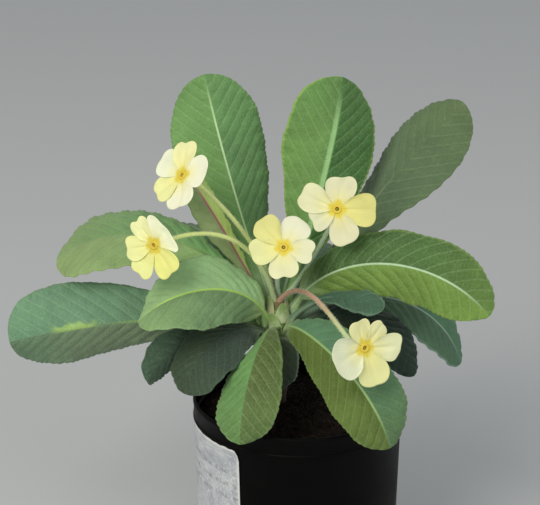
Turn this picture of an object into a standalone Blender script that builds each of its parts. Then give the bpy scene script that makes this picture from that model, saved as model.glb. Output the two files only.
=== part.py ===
"""A potted primrose: five pale yellow flowers over a rosette of nineteen leaves, in a black nursery pot.

The origin is on the surface that the pot stands on, under the middle of the pot, with +Z up. The plant's
best side faces -Y. Sizes are in millimetres until mesh_object turns them to Blender's metres, and angles
are in degrees: a heading of 0 points along +X and 90 along +Y, and a rise is measured up from level.
"""

import math
from collections import namedtuple

import bpy
import numpy as np

MM = 0.001
GAP = 0.3  # air between pieces that rest on or stand in each other

# Pot
POT_HEIGHT = 95.0
RIM_RADIUS = 52.5
RIM_BAND = 10.4  # how far the rolled rim comes down outside
BODY_TOP_RADIUS = 51.6
FOOT_RADIUS = 49.4
POT_WALL = 1.5
POT_FLOOR = 2.0
POT_SIDES = 40
FOOT_BEVEL = 0.8
EDGE_BEVEL = 0.4
CHANNEL_SLOPE = 1.0
DRAIN_CHANNEL = (28.0, 38.0)  # inner and outer radius of the raised ring under the floor
DRAIN_HOLES = 8
DRAIN_HOLE_RADIUS = 4.0
DRAIN_START = 22.5  # azimuth of the first hole
CUTTER_SIDES = 12
CUTTER_SPARE = 2.0  # how far a cutter runs past both faces of the floor

# Label, a sheet of worn paper round the front left of the pot
LABEL_FROM = 150.0
LABEL_TO = 236.0
LABEL_BOTTOM = 14.0
LABEL_TOP = 83.8
LABEL_THICK = 0.4
LABEL_CORNER = 4.0  # how far down the free corners are cut
LABEL_CORNER_TURN = 3.0  # how far round they are cut

# Soil and crown
SOIL_EDGE = 84.0
SOIL_MOUND = 5.0
SOIL_CLOD = 0.7  # how far the clods stand up and down
SOIL_RINGS = (0.82, 0.62, 0.42, 0.22, 0.0)  # shares of the way from the neck's hole to the pot's wall
CROWN_CENTRE = (-10.0, 6.0)
NECK_RADIUS = 4.4
NECK_FOOT = 68.0
CROWN_PROFILE = ((NECK_RADIUS, NECK_FOOT), (NECK_RADIUS, 95.0), (NECK_RADIUS - 0.4, 108.0), (4.8, 118.0),
                 (5.8, 122.0), (6.5, 127.0), (6.5, 131.0), (6.1, 134.5), (5.2, 138.5), (4.4, 142.0),
                 (3.8, 143.0))
CROWN_SIDES = 20

# Leaves
LEAF_STATIONS = (0.0, 0.06, 0.13, 0.21, 0.3, 0.39, 0.48, 0.57, 0.66, 0.75, 0.83, 0.9, 0.96, 1.0)
LEAF_ACROSS = (-1.0, -0.5, 0.0, 0.5, 1.0)
LEAF_SEAT_GAP = 0.5  # air between a leaf stalk's end and the crown
STALK_HALF_WIDTH = 1.6
STALK_THICK = 2.2
STALK_EDGE_LOSS = 0.35  # how much thinner a stalk is at its edges, as a share
STALK_FADE = 4.0  # the stalk has thinned to the blade after one part in this many of it
BLADE_THICK = 0.8
MARGIN_THICK = 0.7
UPPER_SHARE = 0.4  # share of the thickness that lies above the leaf's middle surface
MIDRIB_STEPS = 120  # how finely a midrib's curve is worked out
TIP_HALF_WIDTH = 0.6
MIDRIB_KEEL = 0.9
WAVE = 1.0  # how far the margin waves up and down
WAVES = 2.5
WAVE_SHIFT = 1.7  # phase between the waves of the two margins, in radians
CRENATION = 0.45  # how far the margin's round teeth stand out and in
CURL = 0.12  # how far the margin rolls under, as a share of the half width

# Flowers
PETALS = 5
PETAL_REACH = 17.0
PETAL_THICK = 0.7
PETAL_LIFT = 0.9  # how far the petals' tips stand in front of the eye
# Where a petal bends: the share of its length, how far it has lifted there and its share of the tip's tilt.
PETAL_BEND = (0.55, 0.35, 0.5)
THROAT_RADIUS = 1.3
THROAT_DEPTH = 1.8
EYE_RADIUS = 2.4
EYE_BACK = (2.8, -1.0)  # radius and height of the ring behind the eye
TUBE_SIDES = 2 * PETALS
TUBE_RADIUS = 1.55
TUBE_TOP = -2.6
TUBE_LENGTH = 9.0
STEM_RADIUS = 1.3
CALYX_SIDES = 2 * PETALS
CALYX_FOOT = 2.0  # how far behind the tube's end the calyx starts
PEDICEL_STATIONS = 12
PEDICEL_RING = 2.5  # radius of the ring in which the flower stalks stand on the crown

Leaf = namedtuple("Leaf", "seat height heading swing rise dip length width roll roll_tip fold taper stalk")
Flower = namedtuple("Flower", "centre heading rise turn size seat lean lean_rise pull push")

# seat and height place the leaf stalk on the crown. The leaf sets out along heading and rise, and by its tip
# has turned sideways by swing and tilted to dip. roll turns its face about the midrib, from base to tip, and
# fold bends its halves down from the midrib. taper is how slowly the blade widens after the bare stalk.
LEAVES = {
    "leaf_back_left": Leaf(seat=122, height=138.5, heading=150, swing=-28, rise=68, dip=66, length=119,
                           width=47, roll=0, roll_tip=-35, fold=5, taper=0.45, stalk=0.08),
    "leaf_back_left_low": Leaf(seat=160, height=138.5, heading=187, swing=-7, rise=66, dip=57, length=79,
                               width=18, roll=-40, roll_tip=-45, fold=12, taper=0.8, stalk=0.16),
    "leaf_back_right": Leaf(seat=60, height=138.5, heading=26, swing=46, rise=69, dip=65, length=117,
                            width=48, roll=32, roll_tip=52, fold=4, taper=0.6, stalk=0.2),
    "leaf_far_right": Leaf(seat=28, height=134.5, heading=32, swing=-6, rise=50, dip=38, length=138,
                           width=42, roll=-18, roll_tip=32, fold=10, taper=0.6, stalk=0.2),
    "leaf_left_middle": Leaf(seat=188, height=134.5, heading=178, swing=-12, rise=68, dip=-41, length=125,
                             width=47, roll=-33, roll_tip=-18, fold=0, taper=1.2, stalk=0.1),
    "leaf_left_long": Leaf(seat=180, height=130.5, heading=183, swing=11, rise=8, dip=-10, length=126,
                           width=45, roll=-80, roll_tip=-88, fold=24, taper=0.75, stalk=0.17),
    "leaf_left_front": Leaf(seat=222, height=134.5, heading=229, swing=-51, rise=65, dip=-50, length=82,
                            width=41, roll=-78, roll_tip=-5, fold=0, taper=0.4, stalk=0.08),
    "leaf_low_left": Leaf(seat=200, height=122.4, heading=174, swing=72, rise=18, dip=-32, length=72,
                          width=19, roll=-66, roll_tip=-78, fold=16, taper=0.65, stalk=0.12),
    "leaf_low_front_left": Leaf(seat=224, height=127.4, heading=220, swing=6, rise=37, dip=-70, length=65.5,
                                width=39, roll=-25, roll_tip=12, fold=0, taper=0.57, stalk=0.09),
    "leaf_front": Leaf(seat=252, height=130.5, heading=260, swing=-13, rise=29, dip=-88, length=84,
                       width=32, roll=36, roll_tip=-9, fold=16, taper=0.75, stalk=0.08),
    "leaf_front_right": Leaf(seat=300, height=130.5, heading=280, swing=62, rise=33, dip=-77, length=106,
                             width=35, roll=52, roll_tip=38, fold=0, taper=0.75, stalk=0.05),
    "leaf_front_low": Leaf(seat=270, height=126.0, heading=274, swing=-6, rise=16, dip=-90, length=35,
                           width=21, roll=20, roll_tip=-20, fold=20, taper=0.3, stalk=0.06),
    "leaf_right_front": Leaf(seat=350, height=138.5, heading=328, swing=27, rise=62, dip=-52, length=119,
                             width=35, roll=78, roll_tip=66, fold=12, taper=0.45, stalk=0.08),
    "leaf_right_low": Leaf(seat=5, height=130.5, heading=8, swing=-2, rise=41, dip=-75, length=107,
                           width=34, roll=31, roll_tip=28, fold=0, taper=0.7, stalk=0.12),
    "leaf_right_dark": Leaf(seat=335, height=126.5, heading=341, swing=-7, rise=52, dip=-74, length=80,
                            width=25, roll=44, roll_tip=24, fold=12, taper=0.4, stalk=0.12),
    "leaf_right_small": Leaf(seat=322, height=134.5, heading=328, swing=-7, rise=54, dip=-18, length=60,
                             width=14, roll=31, roll_tip=30, fold=2, taper=0.8, stalk=0.28),
    "leaf_behind_left": Leaf(seat=142, height=127.0, heading=130, swing=0, rise=66, dip=-14, length=88,
                             width=38, roll=0, roll_tip=0, fold=14, taper=0.5, stalk=0.05),
    "leaf_behind": Leaf(seat=88, height=128.5, heading=74, swing=4, rise=58, dip=-34, length=88,
                        width=38, roll=0, roll_tip=0, fold=14, taper=0.6, stalk=0.06),
    "leaf_behind_right": Leaf(seat=46, height=127.0, heading=44, swing=-4, rise=42, dip=-30, length=82,
                              width=36, roll=0, roll_tip=0, fold=14, taper=0.55, stalk=0.12),
}

# centre is the middle of the flower's eye, heading and rise say where it faces, turn spins it about its axis.
# seat and lean set the stalk on the crown's top, pull and push are how stiffly it leaves and arrives.
FLOWERS = {
    "left_upper": Flower(centre=(-55.5, -12, 213.6), heading=224, rise=34, turn=-1, size=1.0,
                         seat=150, lean=160, lean_rise=85, pull=28, push=4),
    "left_lower": Flower(centre=(-68.7, -26, 183.4), heading=238, rise=5, turn=24, size=0.98,
                         seat=222, lean=205, lean_rise=76, pull=50, push=12),
    "middle": Flower(centre=(-7.5, -14, 178), heading=267, rise=40, turn=38, size=1.0,
                     seat=78, lean=235, lean_rise=70, pull=17, push=10),
    "right_upper": Flower(centre=(18, -10, 196), heading=262, rise=12, turn=-12, size=1.05,
                          seat=6, lean=5, lean_rise=45, pull=18, push=12),
    "right_lower": Flower(centre=(29.4, -65, 147.4), heading=293, rise=10, turn=34, size=1.02,
                          seat=294, lean=316, lean_rise=50, pull=30, push=16),
}


def direction(heading, rise):
    """Unit vectors for headings and rises in degrees."""
    a, p = np.radians(heading), np.radians(rise)
    return np.stack([np.cos(p) * np.cos(a), np.cos(p) * np.sin(a), np.sin(p) + 0 * a], -1)


def unit(v):
    return v / np.linalg.norm(v, axis=-1, keepdims=True)


def bpy_material(name, colour, roughness, metallic=0.0):
    """A plain Principled material from an sRGB hex colour."""
    linear = [((int(colour[i:i + 2], 16) / 255 + 0.055) / 1.055) ** 2.4 for i in (1, 3, 5)]
    material = bpy.data.materials.new(name)
    material.use_nodes = True
    shader = material.node_tree.nodes["Principled BSDF"]
    shader.inputs["Base Color"].default_value = (*linear, 1)
    shader.inputs["Roughness"].default_value = roughness
    shader.inputs["Metallic"].default_value = metallic
    material.diffuse_color = (*linear, 1)
    return material


def mesh_object(name, points, faces, colour, roughness, crease=50):
    """One closed piece, from points in millimetres, with a material of its own."""
    mesh = bpy.data.meshes.new(name)
    mesh.from_pydata((np.asarray(points) * MM).tolist(), [], [tuple(int(i) for i in face) for face in faces])
    mesh.materials.append(bpy_material(name, colour, roughness))
    mesh.shade_smooth()
    mesh.set_sharp_from_angle(angle=math.radians(crease))
    piece = bpy.data.objects.new(name, mesh)
    bpy.context.scene.collection.objects.link(piece)
    return piece


def ring_faces(lower, upper):
    """Quads between two rings of equal count, outwards when both run anticlockwise and upper is above."""
    count = len(lower)
    return [(lower[i], lower[(i + 1) % count], upper[(i + 1) % count], upper[i]) for i in range(count)]


def turned(profile, sides, centre=(0.0, 0.0)):
    """Points and faces of a turned solid, from (radius, height) pairs that run out and up from its foot."""
    points, faces, rings = [], [], []
    for radius, height in profile:
        if radius == 0:
            rings.append([len(points)])
            points.append((*centre, height))
            continue
        rings.append(list(range(len(points), len(points) + sides)))
        for i in range(sides):
            a = 2 * math.pi * i / sides
            points.append((centre[0] + radius * math.cos(a), centre[1] + radius * math.sin(a), height))
    for lower, upper in zip(rings, rings[1:]):
        if len(lower) == 1:
            faces += [(lower[0], upper[(i + 1) % sides], upper[i]) for i in range(sides)]
        elif len(upper) == 1:
            faces += [(lower[i], lower[(i + 1) % sides], upper[0]) for i in range(sides)]
        else:
            faces += ring_faces(lower, upper)
    return points, faces


def body_radius(height):
    """The pot's outer radius below its rim."""
    return FOOT_RADIUS + (BODY_TOP_RADIUS - FOOT_RADIUS) * height / (POT_HEIGHT - RIM_BAND)


def inner_radius(height):
    """The pot's inner radius, with the step inside the rim."""
    inside_rim = height > POT_HEIGHT - RIM_BAND + POT_WALL
    return RIM_RADIUS - POT_WALL if inside_rim else body_radius(height) - POT_WALL


def pot_profile():
    """Half of the pot's section, from the middle of its underside out, up, over the rim and in."""
    shoulder = POT_HEIGHT - RIM_BAND
    inside = RIM_RADIUS - POT_WALL
    floor = 2 * POT_FLOOR
    inner, outer = DRAIN_CHANNEL
    underside = [(0, 0), (inner - CHANNEL_SLOPE, 0), (inner, POT_FLOOR), (outer, POT_FLOOR),
                 (outer + CHANNEL_SLOPE, 0), (FOOT_RADIUS - FOOT_BEVEL, 0)]
    outside = [(body_radius(FOOT_BEVEL), FOOT_BEVEL), (body_radius(shoulder), shoulder),
               (RIM_RADIUS - EDGE_BEVEL, shoulder), (RIM_RADIUS, shoulder + EDGE_BEVEL),
               (RIM_RADIUS, POT_HEIGHT - EDGE_BEVEL), (RIM_RADIUS - EDGE_BEVEL, POT_HEIGHT)]
    step = shoulder + POT_WALL
    within = [(inside + EDGE_BEVEL, POT_HEIGHT), (inside, POT_HEIGHT - EDGE_BEVEL),
              (inside, step + EDGE_BEVEL), (inner_radius(step - EDGE_BEVEL), step - EDGE_BEVEL),
              (inner_radius(floor), floor), (0, floor)]
    return underside + outside + within


def cutter(name, radius, low, high, place):
    """A round cutter that the build leaves out."""
    points, faces = turned([(0, low), (radius, low), (radius, high), (0, high)], CUTTER_SIDES, place)
    tool = mesh_object(name, points, faces, "#808080", 0.5)
    tool.hide_render = True
    tool.display_type = "WIRE"
    return tool


def make_pot():
    """The moulded pot: thin tapered wall, deep rolled rim and a ring of drain holes in a raised channel."""
    pot = mesh_object("pot", *turned(pot_profile(), POT_SIDES), "#0D0E0E", 0.38)
    middle = sum(DRAIN_CHANNEL) / 2
    top = 2 * POT_FLOOR + CUTTER_SPARE
    for i in range(DRAIN_HOLES):
        a = math.radians(DRAIN_START + 360 / DRAIN_HOLES * i)
        place = (middle * math.cos(a), middle * math.sin(a))
        hole = pot.modifiers.new(f"drain_hole_{i + 1}", "BOOLEAN")
        hole.object = cutter(f"drain_cutter_{i + 1}", DRAIN_HOLE_RADIUS, -CUTTER_SPARE, top, place)
        hole.operation = "DIFFERENCE"


def facet_radius(radius, azimuth):
    """The distance to the pot's flat facets at this azimuth, where its corners lie at radius."""
    step = 360 / POT_SIDES
    off = (azimuth % step) - step / 2
    return radius * math.cos(math.radians(step / 2)) / math.cos(math.radians(off))


def make_label():
    """A paper label that follows the facets of the pot's wall, with the corners of its free end cut."""
    step = 360 / POT_SIDES
    corners = [a * step for a in range(math.ceil(LABEL_FROM / step), math.floor(LABEL_TO / step) + 1)]
    cut = LABEL_TO - LABEL_CORNER_TURN
    columns = [LABEL_FROM, *(a for a in corners if LABEL_FROM < a < cut), cut, LABEL_TO]
    middle = (LABEL_BOTTOM + LABEL_TOP) / 2
    heights = [LABEL_BOTTOM, middle, LABEL_TOP]
    points = []
    for thick in (0.0, LABEL_THICK):
        for azimuth in columns:
            for height in heights:
                if azimuth == LABEL_TO and height != middle:
                    height -= math.copysign(LABEL_CORNER, height - middle)
                radius = facet_radius(body_radius(height) + GAP + thick, azimuth)
                a = math.radians(azimuth)
                points.append((radius * math.cos(a), radius * math.sin(a), height))
    rows, back = len(heights), len(columns) * len(heights)
    faces = []
    for c in range(len(columns) - 1):
        for r in range(rows - 1):
            i = c * rows + r
            faces += [(i, i + 1, i + rows + 1, i + rows)]
            faces += [(back + i, back + i + rows, back + i + rows + 1, back + i + 1)]
        low, high = c * rows, c * rows + rows - 1
        faces += [(low, low + rows, back + low + rows, back + low)]
        faces += [(high + rows, high, back + high, back + high + rows)]
    for first, flip in ((0, False), (back - rows, True)):
        for r in range(rows - 1):
            quad = (first + r, back + first + r, back + first + r + 1, first + r + 1)
            faces.append(quad[::-1] if flip else quad)
    mesh_object("label", points, faces, "#B9BABC", 0.8, crease=30)


def soil_relief(x, y):
    """A mound in the middle with low clods."""
    reach = math.hypot(x, y) / inner_radius(SOIL_EDGE)
    clods = math.sin(0.33 * x + 1) * math.cos(0.29 * y) + 0.6 * math.sin(0.21 * x - 0.37 * y)
    return SOIL_MOUND * (1 - reach ** 2) + SOIL_CLOD * clods * (1 - reach ** 4)


def make_soil():
    """The soil, which fills the pot's inside and has a plain hole for the plant's neck."""
    floor = 2 * POT_FLOOR
    wall = inner_radius(SOIL_EDGE)
    outline = [(0, floor + GAP), (inner_radius(floor) - GAP, floor + GAP), (wall - GAP, SOIL_EDGE)]
    points, faces = turned(outline, POT_SIDES)
    rim = list(range(len(points) - POT_SIDES, len(points)))
    cx, cy = CROWN_CENTRE
    hole = NECK_RADIUS + GAP
    # The rings slide from round the pot's middle to round the plant's neck.
    for share in SOIL_RINGS:
        ring = []
        for i in range(POT_SIDES):
            a = 2 * math.pi * i / POT_SIDES
            radius = hole + share * (wall - hole)
            x = radius * math.cos(a) + (1 - share) * cx
            y = radius * math.sin(a) + (1 - share) * cy
            ring.append(len(points))
            points.append((x, y, SOIL_EDGE + soil_relief(x, y)))
        faces += ring_faces(rim, ring)
        rim = ring
    floor = list(range(len(points), len(points) + POT_SIDES))
    for i in rim:
        x, y, _ = points[i]
        points.append((x, y, NECK_FOOT - GAP))
    faces += ring_faces(rim, floor)
    faces.append(tuple(floor))
    mesh_object("soil", points, faces, "#231C17", 0.95)


def crown_radius(height):
    """The crown's radius at this height."""
    radii, heights = zip(*CROWN_PROFILE)
    return float(np.interp(height, heights, radii))


def make_crown():
    """The short woody neck that stands in the soil, swollen at the top where leaves and flowers start."""
    profile = [(0, NECK_FOOT), *CROWN_PROFILE, (0, CROWN_PROFILE[-1][1])]
    points, faces = turned(profile, CROWN_SIDES, CROWN_CENTRE)
    mesh_object("crown", points, faces, "#7C7A4E", 0.75)


def leaf_midrib(leaf, t):
    """Points along the midrib at the shares t, with the blade's upward and sideways directions there."""
    fine = np.linspace(0, 1, MIDRIB_STEPS + 1)
    heading = leaf.heading + leaf.swing * fine
    rise = leaf.rise + (leaf.dip - leaf.rise) * fine
    along = direction(heading, rise)
    lean = abs(math.sin(math.radians(leaf.rise)))
    reach = crown_radius(leaf.height) + LEAF_SEAT_GAP + STALK_THICK / 2 * lean
    seat = reach * direction(leaf.seat, 0.0) + (*CROWN_CENTRE, leaf.height)
    steps = (along[1:] + along[:-1]) / 2 * leaf.length / MIDRIB_STEPS
    path = seat + np.vstack([np.zeros(3), np.cumsum(steps, 0)])
    up = direction(heading, rise + 90)
    side = np.cross(along, up)
    roll = np.radians(leaf.roll + (leaf.roll_tip - leaf.roll) * fine)[:, None]
    face = up * np.cos(roll) + side * np.sin(roll)
    across = side * np.cos(roll) - up * np.sin(roll)
    return [np.stack([np.interp(t, fine, v[:, i]) for i in range(3)], -1) for v in (path, face, across)]


def leaf_half_width(leaf, t):
    """Half the blade's width: a bare stalk, then a spoon shape that is widest past the middle."""
    q = np.clip((t - leaf.stalk) / (1 - leaf.stalk), 0, 1)
    spoon = q ** leaf.taper * np.sqrt(1 - q ** 4)
    widest = (leaf.taper / (leaf.taper + 2)) ** 0.25
    full = widest ** leaf.taper * math.sqrt(1 - widest ** 4)
    least = STALK_HALF_WIDTH * (1 - q) + TIP_HALF_WIDTH * q
    return np.maximum(leaf.width / 2 * spoon / full, least), q


def leaf_points(leaf):
    """The upper and lower skins of a leaf, as grids of points: stations along it by points across it."""
    t, u = np.array(LEAF_STATIONS)[:, None], np.array(LEAF_ACROSS)[None, :]
    path, face, across = (v[:, None, :] for v in leaf_midrib(leaf, t[:, 0]))
    half, q = leaf_half_width(leaf, t)
    teeth = CRENATION * np.where(np.arange(len(t)) % 2 == 0, 1, -1)[:, None] * (half > 2 * STALK_HALF_WIDTH)
    fold = math.radians(leaf.fold)
    share = half / (leaf.width / 2)
    sideways = (half * u + teeth * u * (abs(u) == 1)) * math.cos(fold)
    wave = WAVE * np.sin(2 * math.pi * WAVES * t + np.where(u > 0, 0, WAVE_SHIFT)) * abs(u) ** 1.5 * share
    height = -half * abs(u) * math.sin(fold) - half * CURL * u ** 2 + wave
    middle = path + across * sideways[..., None] + face * height[..., None]
    stalk = np.clip(1 - q * STALK_FADE, 0, 1)
    keel = MIDRIB_KEEL * (1 - q) * (u == 0)
    blade = BLADE_THICK + (MARGIN_THICK - BLADE_THICK) * abs(u) + keel
    thick = blade + (STALK_THICK * (1 - STALK_EDGE_LOSS * abs(u)) - blade) * stalk
    upper = middle + face * (UPPER_SHARE * thick)[..., None]
    return upper, upper - unit(face) * thick[..., None]


def leaf_solid(leaf):
    """Points and triangles of a leaf, both skins split along the same diagonals."""
    upper, lower = leaf_points(leaf)
    rows, columns = upper.shape[:2]
    below = rows * columns
    faces = []
    for r in range(rows - 1):
        for c in range(columns - 1):
            i = r * columns + c
            j = i + columns
            right = c >= columns // 2
            halves = ((i, i + 1, j + 1), (i, j + 1, j)) if right else ((i, i + 1, j), (i + 1, j + 1, j))
            for half in halves:
                faces.append(half)
                faces.append(tuple(below + k for k in half[::-1]))
        for i, j, flip in ((r * columns, r * columns + columns, False), (
                (r + 1) * columns - 1, (r + 2) * columns - 1, True)):
            quad = (i, j, below + j, below + i)
            faces.append(quad[::-1] if flip else quad)
    for first, flip in ((0, True), (below - columns, False)):
        for c in range(columns - 1):
            quad = (first + c, first + c + 1, below + first + c + 1, below + first + c)
            faces.append(quad[::-1] if flip else quad)
    return np.vstack([upper.reshape(-1, 3), lower.reshape(-1, 3)]), faces


LEAF_COLOURS = {
    "leaf_back_left": "#648B50", "leaf_back_left_low": "#6B8A54", "leaf_back_right": "#5B8A48",
    "leaf_far_right": "#5D7350", "leaf_left_middle": "#66904F", "leaf_left_long": "#5F7F62",
    "leaf_left_front": "#7A9C6E", "leaf_low_left": "#2E4A3C", "leaf_low_front_left": "#3D5548",
    "leaf_front": "#688C47", "leaf_front_right": "#617A50", "leaf_front_low": "#3B4A33",
    "leaf_right_front": "#648A43", "leaf_right_low": "#3F5A4B", "leaf_right_dark": "#26352F",
    "leaf_right_small": "#48705C", "leaf_behind_left": "#4E6F4A", "leaf_behind": "#4E6F4A",
    "leaf_behind_right": "#4E6F4A",
}


def flower_axes(flower):
    """The flower's facing direction and the two directions across it, the second pointing up at turn 0."""
    facing = direction(float(flower.heading), float(flower.rise))
    level = unit(np.cross((0.0, 0.0, 1.0), facing))
    up = np.cross(facing, level)
    turn = math.radians(flower.turn)
    return facing, level * math.cos(turn) + up * math.sin(turn), up * math.cos(turn) - level * math.sin(turn)


# One petal's outline: how far round it, from -1 to 1 of its half angle, its reach and how far it lifts there.
PETAL_OUTLINE = ((-1.0, 0.5, 0.0), (-0.8, 0.85, -0.5), (-0.4, 1.0, 0.0), (0.0, 0.9, 0.3),
                 (0.4, 1.0, 0.5), (0.8, 0.85, 0.7))


def corolla_solid(flower):
    """Points and triangles of one flower's five joined petals with the tube behind them, in the world."""
    facing, level, up = flower_axes(flower)
    half = 180 / PETALS
    angles, reaches, lifts = [], [], []
    for petal in range(PETALS):
        for share, reach, lift in PETAL_OUTLINE:
            angles.append(math.radians(90 + half * (2 * petal + share)))
            reaches.append(PETAL_REACH * flower.size * reach)
            lifts.append(lift)
    angles, reaches, lifts = (np.array(v) for v in (angles, reaches, lifts))
    spokes = len(angles)
    bend, bend_lift, bend_share = PETAL_BEND
    between = EYE_RADIUS + bend * (reaches - EYE_RADIUS)
    bent, tip = bend_lift + bend_share * lifts, PETAL_LIFT + lifts
    few = np.radians(90 - half + half * np.arange(TUBE_SIDES))
    rings = [
        (few, THROAT_RADIUS, -THROAT_DEPTH), (angles, EYE_RADIUS, 0.0), (angles, between, bent),
        (angles, reaches, tip), (angles, reaches, tip - PETAL_THICK), (angles, between, bent - PETAL_THICK),
        (angles, *EYE_BACK), (few, TUBE_RADIUS, TUBE_TOP), (few, TUBE_RADIUS, -TUBE_LENGTH),
    ]
    points, indices = [(0, 0, -THROAT_DEPTH)], []
    for ring_angles, radius, height in rings:
        indices.append(list(range(len(points), len(points) + len(ring_angles))))
        x, y = radius * np.cos(ring_angles), radius * np.sin(ring_angles)
        points += np.stack([x, y, height + 0 * x], -1).tolist()
    points.append((0, 0, -TUBE_LENGTH))
    count = TUBE_SIDES
    faces = [(0, indices[0][i], indices[0][(i + 1) % count]) for i in range(count)]
    faces += [(indices[-1][i], len(points) - 1, indices[-1][(i + 1) % count]) for i in range(count)]
    for inner, outer in zip(indices, indices[1:]):
        if len(inner) == len(outer):
            for i in range(len(inner)):
                j = (i + 1) % len(inner)
                faces += [(inner[i], outer[i], outer[j]), (inner[i], outer[j], inner[j])]
            continue
        # Ten points meet thirty: each of the ten fans to three of the thirty and the start of the next three.
        few_ring, many, flip = (inner, outer, False) if len(inner) == count else (outer, inner, True)
        for i in range(count):
            fan = [many[(3 * i + k) % spokes] for k in range(4)]
            triangles = [(few_ring[i], fan[k], fan[k + 1]) for k in range(3)]
            triangles.append((few_ring[i], fan[3], few_ring[(i + 1) % count]))
            faces += [triangle[::-1] for triangle in triangles] if flip else triangles
    local = np.array(points)
    world = np.array(flower.centre) + local[:, :1] * level + local[:, 1:2] * up + local[:, 2:] * facing
    return world, faces


def pedicel_path(flower, t):
    """A smooth curve from the crown's top to the flower's back, and its direction at each share t."""
    facing, _, _ = flower_axes(flower)
    top = CROWN_PROFILE[-1][1] + GAP + STEM_RADIUS * math.cos(math.radians(flower.lean_rise))
    start = (*CROWN_CENTRE, top) + PEDICEL_RING * direction(float(flower.seat), 0.0)
    end = np.array(flower.centre) - facing * (TUBE_LENGTH + CALYX_FOOT)
    first = start + flower.pull * direction(float(flower.lean), float(flower.lean_rise))
    second = end - flower.push * facing
    t = t[:, None]
    path = (1 - t) ** 3 * start + 3 * (1 - t) ** 2 * t * first + 3 * (1 - t) * t ** 2 * second + t ** 3 * end
    slope = (1 - t) ** 2 * (first - start) + 2 * (1 - t) * t * (second - first) + t ** 2 * (end - second)
    return path, unit(slope)


# The calyx, behind the flower: distance behind the eye, radius at the ribs and radius between them.
CALYX = ((-TUBE_LENGTH - CALYX_FOOT, 1.4, 1.4), (-TUBE_LENGTH - 0.8, 2.6, 2.3), (-6.0, 3.0, 2.5),
         (-2.9, 3.3, 2.55))
CALYX_NOTCH = 2.2  # how deep the calyx is cut between its five teeth
SOCKET_RADIUS = TUBE_RADIUS + 0.35


def stalk_solid(flower):
    """Points and faces of a flower's stalk with its ribbed, toothed calyx, whose socket holds the tube."""
    path, slope = pedicel_path(flower, np.linspace(0, 1, PEDICEL_STATIONS))
    facing, level, up = flower_axes(flower)
    points, rings = [], []

    def add_ring(centre, radius, side, top, drop=0.0, axis=facing):
        a = math.pi / 2 + 2 * math.pi * np.arange(CALYX_SIDES) / CALYX_SIDES
        radius = np.broadcast_to(radius, a.shape)
        drop = np.broadcast_to(drop, a.shape)
        rings.append(list(range(len(points), len(points) + CALYX_SIDES)))
        around = np.cos(a)[:, None] * side + np.sin(a)[:, None] * top
        points.extend((centre + radius[:, None] * around - drop[:, None] * axis).tolist())

    # The cross-section is carried back from the flower to the crown without twisting.
    side, top = level, up
    frames = []
    for axis in slope[::-1]:
        side = unit(side - axis * (side @ axis))
        top = np.cross(axis, side)
        frames.append((side, top))
    for centre, (side, top) in zip(path[:-1], frames[::-1]):
        add_ring(centre, STEM_RADIUS, side, top)
    ribs = np.arange(CALYX_SIDES) % 2 == 0
    eye = np.array(flower.centre)
    for behind, rib, valley in CALYX:
        add_ring(eye + behind * facing, np.where(ribs, rib, valley), level, up,
                 np.where(ribs, 0, CALYX_NOTCH) if behind == CALYX[-1][0] else 0.0)
    mouth = CALYX[-1][0]
    add_ring(eye + mouth * facing, SOCKET_RADIUS, level, up, np.where(ribs, 0.0, CALYX_NOTCH))
    add_ring(eye - (TUBE_LENGTH + GAP) * facing, SOCKET_RADIUS, level, up)
    faces = [tuple(rings[0][::-1]), tuple(rings[-1])]
    for lower, upper in zip(rings, rings[1:]):
        for i, j, k, m in ring_faces(lower, upper):
            faces += [(i, j, k), (i, k, m)]
    return points, faces


def main():
    for old in list(bpy.data.objects):
        bpy.data.objects.remove(old)
    make_pot()
    make_label()
    make_soil()
    make_crown()
    for name, leaf in LEAVES.items():
        mesh_object(name, *leaf_solid(leaf), LEAF_COLOURS[name], 0.6)
    for name, flower in FLOWERS.items():
        mesh_object(f"bloom_{name}", *corolla_solid(flower), "#F0ECA8", 0.6)
        mesh_object(f"flower_stalk_{name}", *stalk_solid(flower), "#A9B878", 0.65)


main()
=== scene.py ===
"""The looks of a potted primrose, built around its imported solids.

Sizes are in millimetres until a mesh is made, and angles are in degrees: a heading of 0 points along +X and
90 along +Y, and a rise is measured up from level. Each leaf, bloom and stalk follows the same midrib, width
and curve as the solid that it stands for, with a finer skin.
"""

import math
from collections import namedtuple

import bpy
import numpy as np
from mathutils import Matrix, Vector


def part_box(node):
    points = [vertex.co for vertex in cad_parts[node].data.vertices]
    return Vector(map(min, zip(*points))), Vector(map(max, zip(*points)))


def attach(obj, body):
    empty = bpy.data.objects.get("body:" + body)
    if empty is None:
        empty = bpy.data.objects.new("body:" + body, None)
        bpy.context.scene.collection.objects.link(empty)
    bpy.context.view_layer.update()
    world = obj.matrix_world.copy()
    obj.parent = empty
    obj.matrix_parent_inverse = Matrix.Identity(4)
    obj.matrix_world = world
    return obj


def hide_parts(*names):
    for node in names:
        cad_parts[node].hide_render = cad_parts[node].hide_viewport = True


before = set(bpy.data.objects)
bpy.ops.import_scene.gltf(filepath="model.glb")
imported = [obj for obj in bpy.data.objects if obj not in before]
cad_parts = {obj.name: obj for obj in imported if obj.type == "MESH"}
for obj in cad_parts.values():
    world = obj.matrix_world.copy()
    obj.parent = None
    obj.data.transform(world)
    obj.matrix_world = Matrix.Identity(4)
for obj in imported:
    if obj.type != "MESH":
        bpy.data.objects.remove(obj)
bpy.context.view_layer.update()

MM = 0.001
BODY = "root"

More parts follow.
